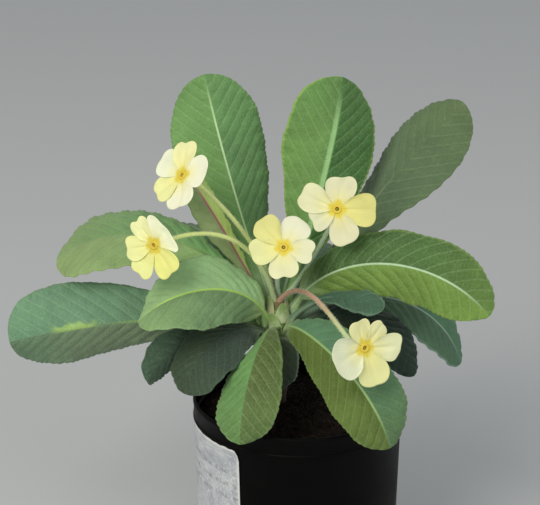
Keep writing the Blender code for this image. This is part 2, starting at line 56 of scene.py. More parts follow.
# Pot and soil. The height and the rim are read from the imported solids, and the rest repeats their sizes.
POT_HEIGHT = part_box("pot")[1].z / MM
RIM_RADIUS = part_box("pot")[1].x / MM
RIM_BAND = 10.4
BODY_TOP_RADIUS = 51.6
FOOT_RADIUS = 49.4
POT_WALL = 1.5
POT_FLOOR = 2.0
POT_SIDES = 144
DRAIN_CHANNEL = (28.0, 38.0)
DRAIN_HOLES = 8
DRAIN_HOLE_RADIUS = 4.0
DRAIN_HOLE_SIDES = 32
SOIL_EDGE = 84.0
SOIL_MOUND = 5.0

# Label
LABEL_FROM, LABEL_TO = 150.0, 236.0
LABEL_BOTTOM, LABEL_TOP = 14.0, 83.8
LABEL_CORNER = 5.0
LABEL_THICK = 0.25
LABEL_GAP = 0.08

# Crown
CROWN_CENTRE = (-10.0, 6.0)
CROWN_PROFILE = ((4.4, 68.0), (4.4, 95.0), (4.0, 108.0), (4.8, 118.0), (5.8, 122.0), (6.5, 127.0),
                 (6.5, 131.0), (6.1, 134.5), (5.2, 138.5), (4.4, 142.0), (3.8, 143.0))
CROWN_SCARS = 34  # leaf scars and sheaths in a spiral round the neck
SCARS_FROM, SCARS_RISE = 96.0, 45.0  # the height of the lowest, and how far up the highest stands
SCAR_HALF_ANGLE = 1.15  # in radians round the neck
GOLDEN_TURN = 137.5
SHEATHS = 15  # small young sheaths that clasp its head

# Leaves
STALK_HALF_WIDTH = 1.6
STALK_THICK = 2.2
STALK_SUNK = 2.2  # how deep its foot is sunk in the crown
SHEATH_FLARE, SHEATH_LENGTH = 2.4, 4.0  # how far it widens at the crown, and how soon that ends
BLADE_THICK = 0.65
KEEL, GROOVE = 1.5, 0.45  # how far the midrib stands out below, and how deep it is sunk above
SEAT_GAP = 0.5
TIP_HALF_WIDTH = 0.6
ROW_STEP = 0.8  # between rows of points along a leaf
COLUMNS = 20  # columns of points on each side of the midrib
VEIN_SPACING = 7.0  # between side veins, as on a primrose leaf 110 mm long
VEIN_SLOPE = 0.8  # how far a side vein runs forward for each millimetre out
BULGE = 0.7  # how high the blade puckers between its veins
TOOTH, TOOTH_SPACING = 0.45, 2.9
WAVE, WAVES = 1.0, 2.5
RUFFLE, RUFFLE_SPACING = 0.45, 8.5
CURL = 0.12  # how far the blade curls down at its sides, as a share of its half width
PAINTED_HIGHLIGHT_SPAN, PAINTED_HIGHLIGHT_WIDTH = (0.56, 0.82), 2.7  # a painted highlight where light catches the midrib's fold, along the blade and out from its midrib

# Flowers
PETALS = 5
PETAL_HALF_ANGLE = 37.5
PETAL_ROOT = 1.5
PETAL_THICK = 0.45
PETAL_REACH = 17.0
PETAL_COLUMNS, PETAL_ROWS = 20, 16
THROAT_RADIUS = 0.95
EYE_RADIUS = 2.2
TUBE_RADIUS = 1.55
TUBE_LENGTH = 9.0
STEM_RADIUS = 1.3
PEDICEL_RING = 2.5
PEDICEL_SUNK = 1.2
CALYX_FOOT = 2.0
STALK_DOWN, CALYX_DOWN = 2.2e6, 1.2e6  # hairs on a square metre

Leaf = namedtuple("Leaf", "seat height heading swing rise dip length width roll roll_tip fold taper stalk")
Flower = namedtuple("Flower", "centre heading rise turn size seat lean lean_rise pull push")

# The leaves and flowers, as in the solids. Each row of numbers is in the order of the names above: seat and
# height place a leaf's stalk on the crown, swing and dip are how far it has turned and sunk by its tip, roll
# turns its face about the midrib, fold bends its halves down, and taper is how slowly it widens.
LEAVES = {
    "leaf_back_left": Leaf(122, 138.5, 150, -28, 68, 66, 119, 47, 0, -35, 5, 0.45, 0.08),
    "leaf_back_left_low": Leaf(160, 138.5, 187, -7, 66, 57, 79, 18, -40, -45, 12, 0.8, 0.16),
    "leaf_back_right": Leaf(60, 138.5, 26, 46, 69, 65, 117, 48, 32, 52, 4, 0.6, 0.2),
    "leaf_far_right": Leaf(28, 134.5, 32, -6, 50, 38, 138, 42, -18, 32, 10, 0.6, 0.2),
    "leaf_left_middle": Leaf(188, 134.5, 178, -12, 68, -41, 125, 47, -33, -18, 0, 1.2, 0.1),
    "leaf_left_long": Leaf(180, 130.5, 183, 11, 8, -10, 126, 45, -80, -88, 24, 0.75, 0.17),
    "leaf_left_front": Leaf(222, 134.5, 229, -51, 65, -50, 82, 41, -78, -5, 0, 0.4, 0.08),
    "leaf_low_left": Leaf(200, 122.4, 174, 72, 18, -32, 72, 19, -66, -78, 16, 0.65, 0.12),
    "leaf_low_front_left": Leaf(224, 127.4, 220, 6, 37, -70, 65.5, 39, -25, 12, 0, 0.57, 0.09),
    "leaf_front": Leaf(252, 130.5, 260, -13, 29, -88, 84, 32, 36, -9, 16, 0.75, 0.08),
    "leaf_front_right": Leaf(300, 130.5, 280, 62, 33, -77, 106, 35, 52, 38, 0, 0.75, 0.05),
    "leaf_front_low": Leaf(270, 126.0, 274, -6, 16, -90, 35, 21, 20, -20, 20, 0.3, 0.06),
    "leaf_right_front": Leaf(350, 138.5, 328, 27, 62, -52, 119, 35, 78, 66, 12, 0.45, 0.08),
    "leaf_right_low": Leaf(5, 130.5, 8, -2, 41, -75, 107, 34, 31, 28, 0, 0.7, 0.12),
    "leaf_right_dark": Leaf(335, 126.5, 341, -7, 52, -74, 80, 25, 44, 24, 12, 0.4, 0.12),
    "leaf_right_small": Leaf(322, 134.5, 328, -7, 54, -18, 60, 14, 31, 30, 2, 0.8, 0.28),
    # The three leaves behind the crown are dark leaves put where only deep shade shows between the front
    # leaves, so they stand for that shade.
    "leaf_behind_left": Leaf(142, 127.0, 130, 0, 66, -14, 88, 38, 0, 0, 14, 0.5, 0.05),
    "leaf_behind": Leaf(88, 128.5, 74, 4, 58, -34, 88, 38, 0, 0, 14, 0.6, 0.06),
    "leaf_behind_right": Leaf(46, 127.0, 44, -4, 42, -30, 82, 36, 0, 0, 14, 0.55, 0.12),
}
FLOWERS = {
    "left_upper": Flower(centre=(-55.5, -12, 213.6), heading=224, rise=34, turn=-1, size=1.0,
                         seat=150, lean=160, lean_rise=85, pull=28, push=4),
    "left_lower": Flower(centre=(-68.7, -26, 183.4), heading=238, rise=5, turn=24, size=0.98,
                         seat=222, lean=205, lean_rise=76, pull=50, push=12),
    "middle": Flower(centre=(-7.5, -14, 178), heading=267, rise=40, turn=38, size=1.0,
                     seat=78, lean=235, lean_rise=70, pull=17, push=10),
    "right_upper": Flower(centre=(18, -10, 196), heading=262, rise=12, turn=-12, size=1.05,
                          seat=6, lean=5, lean_rise=45, pull=18, push=12),
    "right_lower": Flower(centre=(29.4, -65, 147.4), heading=293, rise=10, turn=34, size=1.02,
                          seat=294, lean=316, lean_rise=50, pull=30, push=16),
}

# How each leaf is coloured: the material slot, the two halves of the blade on the +across and -across side,
# the midrib with how far along the leaf it shows, the margin with how strongly it shows, and the tip. The two
# halves differ by painted light and shade: one is painted lighter as if turned to the light, the other
# darker, and blades that other leaves shade, as back_left_low's, are painted lighter to offset that shade.
# rib_width is how wide the midrib shows; near is a painted light, how much brighter the blade is painted by
# its stalk to offset the shade that other leaves cast there; and patch is the colour of a painted highlight
# beside the midrib, where light catches its fold.
Dress = namedtuple("Dress", "slot plus minus rib rib_reach rim rim_share tip rib_width near patch",
                   defaults=(1.0, 0.0, None))
DRESSES = {
    "leaf_back_left": Dress("leaf_light", "#58814C", "#68914F", "#B4D39C", 1.0, "#7FA05A", 0.3, "#5F8B4C",
                            rib_width=0.7),
    "leaf_back_left_low": Dress("leaf_olive", "#C8E277", "#93A46F", "#B5707A", 1.0, "#6F9255", 0.2,
                                "#82A864"),
    "leaf_back_right": Dress("leaf_light", "#3A652C", "#678F49", "#94BF7D", 0.95, "#93B551", 0.7, "#507A3C",
                             rib_width=1.9),
    "leaf_far_right": Dress("leaf_olive", "#546B4A", "#546B4A", "#6B8160", 0.6, "#687D50", 0.3, "#5A6D41"),
    # left_middle's blade is painted brighter by its stalk, a painted light that offsets the shade of
    # left_front.
    "leaf_left_middle": Dress("leaf_light", "#658C56", "#7F9B63", "#8FB06E", 0.5, "#93AE62", 0.5, "#8FA564",
                              near=2.6),
    # left_long carries a painted highlight beside its midrib, where light catches the fold.
    "leaf_left_long": Dress("leaf_light", "#678C6D", "#738868", "#87A866", 0.6, "#6E8F68", 0.3, "#608A67",
                            patch="#A0C168"),
    "leaf_left_front": Dress("leaf_light", "#94BB81", "#69885C", "#A6CC62", 1.0, "#93B57A", 0.3, "#92B472",
                             rib_width=0.8),
    "leaf_low_left": Dress("leaf_dark", "#485F4B", "#485F4B", "#3D5B48", 0.3, "#3B5A44", 0.3, "#466047"),
    "leaf_low_front_left": Dress("leaf_dark", "#354631", "#334337", "#4D6650", 0.3, "#4D6650", 0.3,
                                 "#3C4F31"),
    "leaf_front": Dress("leaf_light", "#63904F", "#50622D", "#7E9C55", 0.4, "#7A9A5A", 0.4, "#5E7B42"),
    "leaf_front_right": Dress("leaf_olive", "#556A23", "#527C59", "#8FB070", 1.0, "#73904C", 0.3, "#54682F",
                              rib_width=0.8),
    "leaf_front_low": Dress("leaf_deep", "#3B4A33", "#3B4A33", "#74876A", 0.8, "#7B8F78", 0.8, "#3E4E38"),
    "leaf_right_front": Dress("leaf_light", "#6D8C3B", "#43632F", "#B4D0A6", 1.0, "#87A552", 0.4, "#6E8F3A",
                              rib_width=0.7),
    "leaf_right_low": Dress("leaf_dark", "#47664A", "#4A7753", "#93AE9A", 1.0, "#7C9A86", 0.6, "#446F50",
                            rib_width=0.7),
    "leaf_right_dark": Dress("leaf_deep", "#031D09", "#02210D", "#2E493A", 0.3, "#264034", 0.4, "#102E1E"),
    "leaf_right_small": Dress("leaf_dark", "#3D5D47", "#3D5D47", "#5B8068", 0.4, "#7E9C80", 0.3, "#406048"),
    # Painted shade: the leaves behind the crown are coloured dark for the deep shade that they fill.
    "leaf_behind_left": Dress("leaf_dark", "#4E6F4A", "#587A50", "#93AE7E", 0.9, "#6F8C5C", 0.3, "#55774C"),
    "leaf_behind": Dress("leaf_dark", "#4B6C48", "#55774C", "#93AE7E", 0.9, "#6F8C5C", 0.3, "#52744A"),
    "leaf_behind_right": Dress("leaf_dark", "#4E6F4A", "#587A50", "#93AE7E", 0.9, "#6F8C5C", 0.3, "#55774C"),
}
LEAF_UNDERSIDE = "#8FA37F"
LEAF_FOOT = "#B4C596"  # of a blade where it runs into its stalk
LEAF_ORDINARY = "#6C9A55"  # the green whose underside is LEAF_UNDERSIDE in full

# Each petal, anticlockwise from the one at the top before the flower is turned. swing is how far it stands
# off its even place round the eye, lift how far its tip stands forward, and square how straight it is cut.
Petal = namedtuple("Petal", "reach width notch swing lift colour square", defaults=(0.0,))
BLOOMS = {
    "left_upper": (Petal(1.02, 1.0, 1.2, 22, 0.0, "#E6E5A7"), Petal(1.06, 1.02, 0.7, 5, 0.0, "#E5EACB"),
                   Petal(0.98, 1.08, 1.0, 0, 0.4, "#E5E69F"), Petal(1.06, 1.16, 0.9, -6, 0.3, "#E9EACB"),
                   Petal(0.98, 1.22, 0.6, 3, 0.8, "#EAEBCF")),
    "left_lower": (Petal(0.92, 0.86, 0.9, 20, 0.0, "#EBEEAF"), Petal(0.98, 0.96, 0.7, 12, 0.0, "#EAEDA3"),
                   Petal(1.08, 0.88, 1.0, -13, 0.3, "#EAEC9C"), Petal(1.04, 1.12, 0.8, -14, 0.5, "#E8E98A"),
                   Petal(1.1, 1.42, 0.0, 9, 1.0, "#F3F6D0", 0.7)),
    "middle": (Petal(1.08, 1.0, 0.8, 3, 0.0, "#D5D388"), Petal(0.97, 1.1, 0.6, -6, 0.3, "#DBDD9D"),
               Petal(1.0, 1.12, 1.8, 0, 0.0, "#DBDBAE"), Petal(0.89, 1.0, 0.8, 4, 0.3, "#DADBB6"),
               Petal(0.96, 1.12, 0.5, 2, 0.8, "#DDDEC2")),
    "right_upper": (Petal(0.92, 1.2, 0.8, 3, 0.3, "#DBDAB3"), Petal(1.06, 0.96, 0.6, 9, 0.0, "#DDDDB2"),
                    Petal(0.8, 1.06, 0.5, -12, 0.2, "#D8D9B3"), Petal(1.0, 1.06, 0.6, -5, 0.4, "#D8D6B0"),
                    Petal(1.08, 1.06, 0.4, -5, 0.6, "#D5D282")),
    "right_lower": (Petal(0.82, 1.0, 0.4, -20, 0.5, "#E1E0A4"), Petal(1.0, 1.5, 1.0, 2, 1.0, "#D8DDBB"),
                    Petal(1.1, 1.06, 0.8, 19, 0.0, "#DFDF9D"), Petal(1.06, 0.92, 0.4, 14, 0.2, "#DEE1B2"),
                    Petal(0.82, 0.86, 0.5, -5, 0.0, "#DEDDA5")),
}
PETAL_BASE = "#EBE389"
CALYX_TIP = "#A8BE6E"
# The colour of each stalk at the crown and at the flower, and the share of the way where they meet. The
# colours are the stalks' own green painted paler, a painted light that offsets the shade on the thin stalks,
# most of all on right_upper's under its bloom.
STALK_COLOURS = {
    "left_upper": ("#A9BB80", "#D2DE8E", 0.25), "left_lower": ("#A9BB88", "#D3E08D", 0.3),
    "middle": ("#A3BC9C", "#AEC4A2", 0.5), "right_upper": ("#B4CBA4", "#B9CFAE", 0.5),
    "right_lower": ("#BD8F78", "#C4D496", 0.66),
}

# Camera and light
PICTURE = (540, 505)
FOCAL_PIXELS = 1900.0
CAMERA_RISE = 20.0
CAMERA_DISTANCE = 950.0
CAMERA_TARGET = (-14.0, 24.2, 161.5)
SENSOR = 36.0
LIGHT_TARGET = (0.0, 0.0, 120.0)
FLOOR_HALF = 6000.0


def linear(colour):
    """An sRGB hex colour as linear red, green and blue."""
    shares = [int(colour[i:i + 2], 16) / 255 for i in (1, 3, 5)]
    return np.array([s / 12.92 if s <= 0.04045 else ((s + 0.055) / 1.055) ** 2.4 for s in shares])


def fill(tree, inputs, values):
    """Gives inputs, by name or place, a value, a hex colour, an output, or a node's first output in use."""
    for name, value in values.items():
        if isinstance(value, bpy.types.Node):
            value = next(output for output in value.outputs if output.enabled)
        if isinstance(value, bpy.types.NodeSocket):
            tree.links.new(value, inputs[name])
        elif isinstance(value, str) and value.startswith("#"):
            inputs[name].default_value = (*linear(value), 1)
        else:
            inputs[name].default_value = value


def add(tree, kind, links=None, **settings):
    """Adds a node with its settings and fills its inputs."""
    node = tree.nodes.new(kind)
    for name, value in settings.items():
        setattr(node, name, value)
    fill(tree, node.inputs, links or {})
    return node


def new_material(name, **values):
    """A Principled material, with what is the same all over it set on the shader's own sockets."""
    material = bpy.data.materials.new(name)
    material.use_nodes = True
    tree = material.node_tree
    sockets = {label.replace("_", " "): value for label, value in values.items()}
    fill(tree, tree.nodes["Principled BSDF"].inputs, sockets)
    return material, tree


def direction(heading, rise):
    """Unit vectors for headings and rises in degrees."""
    a, p = np.radians(heading), np.radians(rise)
    return np.stack([np.cos(p) * np.cos(a), np.cos(p) * np.sin(a), np.sin(p) + 0 * a], -1)


def unit(v):
    """Vectors with a length of 1."""
    return v / np.linalg.norm(v, axis=-1, keepdims=True)


def about_axis(radius, angle, height, centre=(0.0, 0.0)):
    """Points at these radii, angles and heights about an upright axis."""
    x, y = centre[0] + radius * np.cos(angle), centre[1] + radius * np.sin(angle)
    return np.stack(np.broadcast_arrays(x, y, height), -1)


def smooth_step(low, high, x):
    """0 below low, 1 above high and a smooth rise between."""
    s = np.clip((np.asarray(x, float) - low) / (high - low), 0, 1)
    return s * s * (3 - 2 * s)


def ripples(x, y, size, seed, waves=6):
    """Smooth unevenness between about -1 and 1, whose humps are about size across."""
    random = np.random.default_rng(seed)
    total = 0.0
    for _ in range(waves):
        turn, phase = random.uniform(0, 2 * math.pi, 2)
        number = math.pi / (size * random.uniform(0.7, 1.5))
        total = total + np.sin(number * (x * math.cos(turn) + y * math.sin(turn)) + phase)
    return total / math.sqrt(waves)


def mixed(first, second, share):
    """A colour that turns from the first to the second as the share at each point goes from 0 to 1."""
    share = np.asarray(share)[..., None]
    return first * (1 - share) + second * share


def with_alpha(colour, alpha=1.0):
    """Colours with an alpha, one for all of them or one for each."""
    alpha = np.asarray(alpha, float)[..., None]
    return np.concatenate([colour, np.broadcast_to(alpha, (*colour.shape[:-1], 1))], -1)


def both_sides(upper, lower=None):
    """Rows of values for both sides of a closed sheet, the upper first. One alone is used for both."""
    return np.concatenate([upper, upper if lower is None else lower]).reshape(-1, upper.shape[-1])


def new_object(name, data):
    """An object in the scene for a mesh, a curve, a light or a camera."""
    made = bpy.data.objects.new(name, data)
    bpy.context.scene.collection.objects.link(made)
    return made


def new_mesh(name, points, faces):
    """A mesh from points in millimetres."""
    mesh = bpy.data.meshes.new(name)
    mesh.from_pydata((np.asarray(points, float) * MM).tolist(), [], [tuple(map(int, f)) for f in faces])
    return mesh


def set_attribute(mesh, name, values):
    """Keeps a vector, or a colour with its alpha, at each point of a mesh."""
    values = np.asarray(values, np.float32)
    kind, key = {3: ("FLOAT_VECTOR", "vector"), 4: ("FLOAT_COLOR", "color")}[values.shape[1]]
    mesh.attributes.new(name, kind, "POINT").data.foreach_set(key, values.ravel())


def new_piece(name, points, faces, materials, stands_for=(), sharp=None, face_materials=None,
              attributes=None):
    """A finished piece from points in millimetres. attributes maps a name to its values at the points."""
    mesh = new_mesh(name, points, faces)
    for material in materials:
        mesh.materials.append(material)
    if face_materials is not None:
        mesh.polygons.foreach_set("material_index", np.asarray(face_materials, np.int32))
    for label, values in (attributes or {}).items():
        set_attribute(mesh, label, values)
    mesh.shade_smooth()
    if sharp:
        mesh.set_sharp_from_angle(angle=math.radians(sharp))
    mesh.update()
    return place_piece(name, mesh, stands_for)


def place_piece(name, mesh, stands_for=()):
    """Puts a finished mesh in the scene as a piece of the object."""
    piece = new_object(name, mesh)
    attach(piece, BODY)
    if stands_for:
        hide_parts(*stands_for)
    return piece


def band_faces(lower, upper):
    """Quads between two rings, facing out where they run anticlockwise and upper is above."""
    return list(zip(lower, lower[1:] + lower[:1], upper[1:] + upper[:1], upper))


def fan_faces(centre, ring, flip=False):
    """Triangles from a point to the ring round it, facing up unless flipped."""
    faces = [(centre, a, b) for a, b in zip(ring, ring[1:] + ring[:1])]
    return [face[::-1] for face in faces] if flip else faces


def stack_faces(rings, sides):
    """Faces of a solid of stacked rings, whose foot and top points come after the rings."""
    rows = np.arange(rings * sides).reshape(rings, sides).tolist()
    faces = [face for lower, upper in zip(rows, rows[1:]) for face in band_faces(lower, upper)]
    return faces + fan_faces(rings * sides, rows[0], flip=True) + fan_faces(rings * sides + 1, rows[-1])


def shell_faces(rows, columns, flip=False):
    """Faces of a closed sheet: an upper grid of points, then a lower one, joined all round their edge."""
    below = rows * columns
    grid = np.arange(below).reshape(rows, columns)
    upper = np.stack([grid[:-1, :-1], grid[:-1, 1:], grid[1:, 1:], grid[1:, :-1]], -1).reshape(-1, 4)
    faces = upper.tolist() + (upper[:, ::-1] + below).tolist()
    edge = [*grid[0], *grid[1:, -1], *grid[-1, -2::-1], *grid[-2:0:-1, 0]]
    faces += [(b, a, a + below, b + below) for a, b in zip(edge, edge[1:] + edge[:1])]
    return [face[::-1] for face in faces] if flip else faces


def turned(profile, sides, centre=(0.0, 0.0)):
    """Points and faces of a turned solid, from (radius, height) pairs that run out and up from its foot."""
    points, faces, rings = [], [], []
    for radius, height in profile:
        count = sides if radius else 1
        rings.append(list(range(len(points), len(points) + count)))
        points += about_axis(radius, 2 * math.pi * np.arange(count) / sides, height, centre).tolist()
    for lower, upper in zip(rings, rings[1:]):
        if len(lower) == 1:
            faces += fan_faces(lower[0], upper, flip=True)
        elif len(upper) == 1:
            faces += fan_faces(upper[0], lower)
        else:
            faces += band_faces(lower, upper)
    return points, faces


def new_tree(name, inputs):
    """A Geometry Nodes tree that takes a geometry, named numbers and a material, with their sockets."""
    tree = bpy.data.node_groups.new(name, "GeometryNodeTree")
    tree.interface.new_socket("Geometry", in_out="INPUT", socket_type="NodeSocketGeometry")
    tree.interface.new_socket("Geometry", in_out="OUTPUT", socket_type="NodeSocketGeometry")
    for label, value in inputs.items():
        kind = "NodeSocketInt" if isinstance(value, int) else "NodeSocketFloat"
        tree.interface.new_socket(label, in_out="INPUT", socket_type=kind).default_value = value
    tree.interface.new_socket("Material", in_out="INPUT", socket_type="NodeSocketMaterial")
    return tree, add(tree, "NodeGroupInput").outputs


def end_tree(tree, geometry, material):
    """Ends a tree in real geometry with its material."""
    realised = add(tree, "GeometryNodeRealizeInstances", {"Geometry": geometry})
    done = add(tree, "GeometryNodeSetMaterial", {"Geometry": realised, "Material": material})
    add(tree, "NodeGroupOutput", {"Geometry": done})
    return tree


def grown(name, host_data, tree, values):
    """The plain mesh that a Geometry Nodes tree makes from a mesh or curve, with its named inputs set."""
    host = new_object(name, host_data)
    modifier = host.modifiers.new(tree.name, "NODES")
    modifier.node_group = tree
    for item in tree.interface.items_tree:
        if item.name in values:
            modifier[item.identifier] = values[item.name]
    mesh = bpy.data.meshes.new_from_object(host.evaluated_get(bpy.context.evaluated_depsgraph_get()))
    mesh.name = name
    bpy.data.objects.remove(host)
    return mesh


# Materials

def layer(tree, colour, paint, value, start, end, strength=1.0, step="SMOOTHSTEP"):
    """Lays paint over a colour, from none where value is at start to full strength at end."""
    shows = add(tree, "ShaderNodeMapRange", {"Value": value, "From Min": start, "From Max": end},
                interpolation_type=step)
    share = add(tree, "ShaderNodeMath", {0: shows, 1: strength}, operation="MULTIPLY")
    return add(tree, "ShaderNodeMix", {"Factor": share, 6: colour, 7: paint}, data_type="RGBA"), shows


def mottled(tree, tint, noise, low, high):
    """A tint that noise makes darker and lighter."""
    shade = add(tree, "ShaderNodeMapRange", {"Value": noise, "From Min": 0.3, "From Max": 0.7,
                                             "To Min": low, "To Max": high})
    return add(tree, "ShaderNodeMix", {"Factor": 1.0, 6: tint, 7: shade}, data_type="RGBA",
               blend_type="MULTIPLY")


def finished(material, colour, height, strength, depth, **others):
    """Joins a material's colour to its shader, with a bump up to depth in metres and any other nodes."""
    tree = material.node_tree
    bump = add(tree, "ShaderNodeBump", {"Strength": strength, "Distance": depth, "Height": height})
    fill(tree, tree.nodes["Principled BSDF"].inputs, {"Base Color": colour, "Normal": bump, **others})
    return material


def place_of(tree):
    """The place that a mesh gives at each point, whole and in its three parts."""
    vector = add(tree, "ShaderNodeAttribute", attribute_name="place").outputs["Vector"]
    return vector, add(tree, "ShaderNodeSeparateXYZ", {0: vector}).outputs


def leaf_skin(name, roughness, vein_colour, net):
    """Living primrose leaf, matt and wrinkled: a soft sheen, paler veins and a fine net between them.

    The mesh gives tint, rib and rim, the colours of the blade, midrib and margin, whose alpha is how strongly
    they show, and place: millimetres from the midrib, millimetres from the margin, and a number that is whole
    on each side vein.
    """
    material, tree = new_material(name, Roughness=roughness, IOR=1.42, Sheen_Weight=0.12,
                                  Sheen_Roughness=0.5, Specular_IOR_Level=0.32)
    _, place = place_of(tree)
    tint, rib, rim = (add(tree, "ShaderNodeAttribute", attribute_name=label).outputs
                      for label in ("tint", "rib", "rim"))
    spot = add(tree, "ShaderNodeTexCoord").outputs["Object"]
    mottle = add(tree, "ShaderNodeTexNoise", {"Vector": spot, "Scale": 60.0, "Detail": 5.0, "Roughness": 0.6})
    colour = mottled(tree, tint["Color"], mottle, 0.86, 1.12)
    # The net's meshes are about 2.2 mm across, and side veins about 0.7 mm wide where they leave the midrib.
    mesh = add(tree, "ShaderNodeTexVoronoi", {"Vector": spot, "Scale": 450.0}, feature="DISTANCE_TO_EDGE")
    nearest = add(tree, "ShaderNodeMath", {0: place["Z"], 1: 0.5}, operation="PINGPONG")
    colour, net_line = layer(tree, colour, vein_colour, mesh, 0.14, 0.02, net)
    colour, vein = layer(tree, colour, vein_colour, nearest, 0.12, 0.02, 1.6 * net)
    # A midrib of width 1 shows about 1.4 mm wide, and the margin about 0.9 mm.
    colour, _ = layer(tree, colour, rib["Color"], place["X"], 1.0, 0.35, rib["Alpha"])
    colour, _ = layer(tree, colour, rim["Color"], place["Y"], 1.3, 0.4, rim["Alpha"])
    # Veins and net lie in furrows of the upper side, over a skin with a grain of about 0.4 mm.
    grain = add(tree, "ShaderNodeTexNoise", {"Vector": spot, "Scale": 2500.0, "Detail": 2.0})
    furrows = add(tree, "ShaderNodeMath", {0: vein, 1: net_line}, operation="MAXIMUM")
    height = add(tree, "ShaderNodeMath", {0: furrows, 1: -1.0, 2: grain}, operation="MULTIPLY_ADD")
    return finished(material, colour, height, 0.55, 0.00025)


def petal_skin():
    """Primrose petal, thin and matt like crepe: pale yellow, with fine veins round a yolk-yellow eye.

    The mesh gives tint, and place: millimetres from the eye, how far across the petal from -1 to 1, and how
    far along it from 0 to 1.
    """
    material, tree = new_material("Primrose petal", Roughness=0.62, IOR=1.4, Sheen_Weight=0.15,
                                  Specular_IOR_Level=0.25)
    _, place = place_of(tree)
    tint = add(tree, "ShaderNodeAttribute", attribute_name="tint")
    spot = add(tree, "ShaderNodeTexCoord").outputs["Object"]
    # About 14 veins across a petal 15 mm wide, broken up by noise
    wander = add(tree, "ShaderNodeTexNoise", {"Vector": spot, "Scale": 220.0, "Detail": 3.0})
    bent = add(tree, "ShaderNodeMath", {0: wander, 1: 0.16, 2: place["Y"]}, operation="MULTIPLY_ADD")
    many = add(tree, "ShaderNodeMath", {0: bent, 1: 7.0}, operation="MULTIPLY")
    nearest = add(tree, "ShaderNodeMath", {0: many, 1: 0.5}, operation="PINGPONG")
    veined, vein = layer(tree, tint, "#D9D47A", nearest, 0.22, 0.0, 0.10)
    # The yellow eye runs out along the middle of each petal in a short point.
    off_middle = add(tree, "ShaderNodeMath", {0: place["Y"]}, operation="ABSOLUTE")
    reach = add(tree, "ShaderNodeMath", {0: off_middle, 1: -1.3, 2: 4.9}, operation="MULTIPLY_ADD")
    ragged = add(tree, "ShaderNodeMath", {0: wander, 1: 1.2, 2: reach}, operation="MULTIPLY_ADD")
    inside = add(tree, "ShaderNodeMath", {0: ragged, 1: place["X"]}, operation="SUBTRACT")
    yolk, _ = layer(tree, veined, "#DCCB4A", inside, -0.4, 1.8)
    grain = add(tree, "ShaderNodeTexNoise", {"Vector": spot, "Scale": 1800.0})
    height = add(tree, "ShaderNodeMath", {0: vein, 1: -0.8, 2: grain}, operation="MULTIPLY_ADD")
    return finished(material, yolk, height, 0.35, 0.00015)


def tinted_skin(name, roughness, speckle, scale, depth):
    """Soft green tissue, downy or ribbed, with a tint from the mesh that a finer speckle breaks up."""
    material, tree = new_material(name, Roughness=roughness, IOR=1.42, Sheen_Weight=0.2,
                                  Specular_IOR_Level=0.3)
    spot = add(tree, "ShaderNodeTexCoord").outputs["Object"]
    noise = add(tree, "ShaderNodeTexNoise", {"Vector": spot, "Scale": scale, "Detail": 4.0})
    tint = add(tree, "ShaderNodeAttribute", attribute_name="tint")
    return finished(material, mottled(tree, tint, noise, 1.0 - speckle, 1.0 + speckle), noise, 0.5, depth)


def two_tone(name, low, high, scale, roughness, depth, specular=0.3, span=(0.35, 0.65), detail=6.0,
             fineness=0.62, strength=0.6):
    """A finish of two colours that fractal noise mixes, with a bump from the same noise."""
    material, tree = new_material(name, Roughness=roughness, Specular_IOR_Level=specular)
    spot = add(tree, "ShaderNodeTexCoord").outputs["Object"]
    noise = add(tree, "ShaderNodeTexNoise", {"Vector": spot, "Scale": scale, "Detail": detail,
                                             "Roughness": fineness})
    colour, _ = layer(tree, low, high, noise, *span, step="LINEAR")
    return finished(material, colour, noise, strength, depth)


def pot_plastic():
    """Carbon-black polypropylene, injection moulded: nearly black and satin, with dust and scuffs."""
    material, tree = new_material("Polypropylene, carbon black", IOR=1.49, Specular_IOR_Level=0.07)
    spot = add(tree, "ShaderNodeTexCoord").outputs["Object"]
    dust = add(tree, "ShaderNodeTexNoise", {"Vector": spot, "Scale": 35.0, "Detail": 8.0, "Roughness": 0.7})
    # Scuffs run round the pot, so the noise is squeezed upwards.
    flat = add(tree, "ShaderNodeMapping", {"Vector": spot, "Scale": (18.0, 18.0, 900.0)})
    scuff = add(tree, "ShaderNodeTexNoise", {"Vector": flat, "Scale": 1.0, "Detail": 4.0})
    haze, lines, rough = (
        add(tree, "ShaderNodeMapRange", {"Value": noise, "From Min": start, "From Max": end, "To Min": low,
                                         "To Max": high})
        for noise, start, end, low, high in ((dust, 0.45, 0.8, 0.0, 0.5), (scuff, 0.62, 0.75, 0.0, 0.35),
                                             (dust, 0.3, 0.7, 0.36, 0.58)))
    worn = add(tree, "ShaderNodeMath", {0: haze, 1: lines}, operation="MAXIMUM")
    colour = add(tree, "ShaderNodeMix", {"Factor": worn, 6: "#020302", 7: "#0F100C"}, data_type="RGBA")
    # Moulding grain of about 0.5 mm
    grain = add(tree, "ShaderNodeTexNoise", {"Vector": spot, "Scale": 2000.0, "Detail": 3.0})
    return finished(material, colour, grain, 0.25, 0.0001, Roughness=rough)


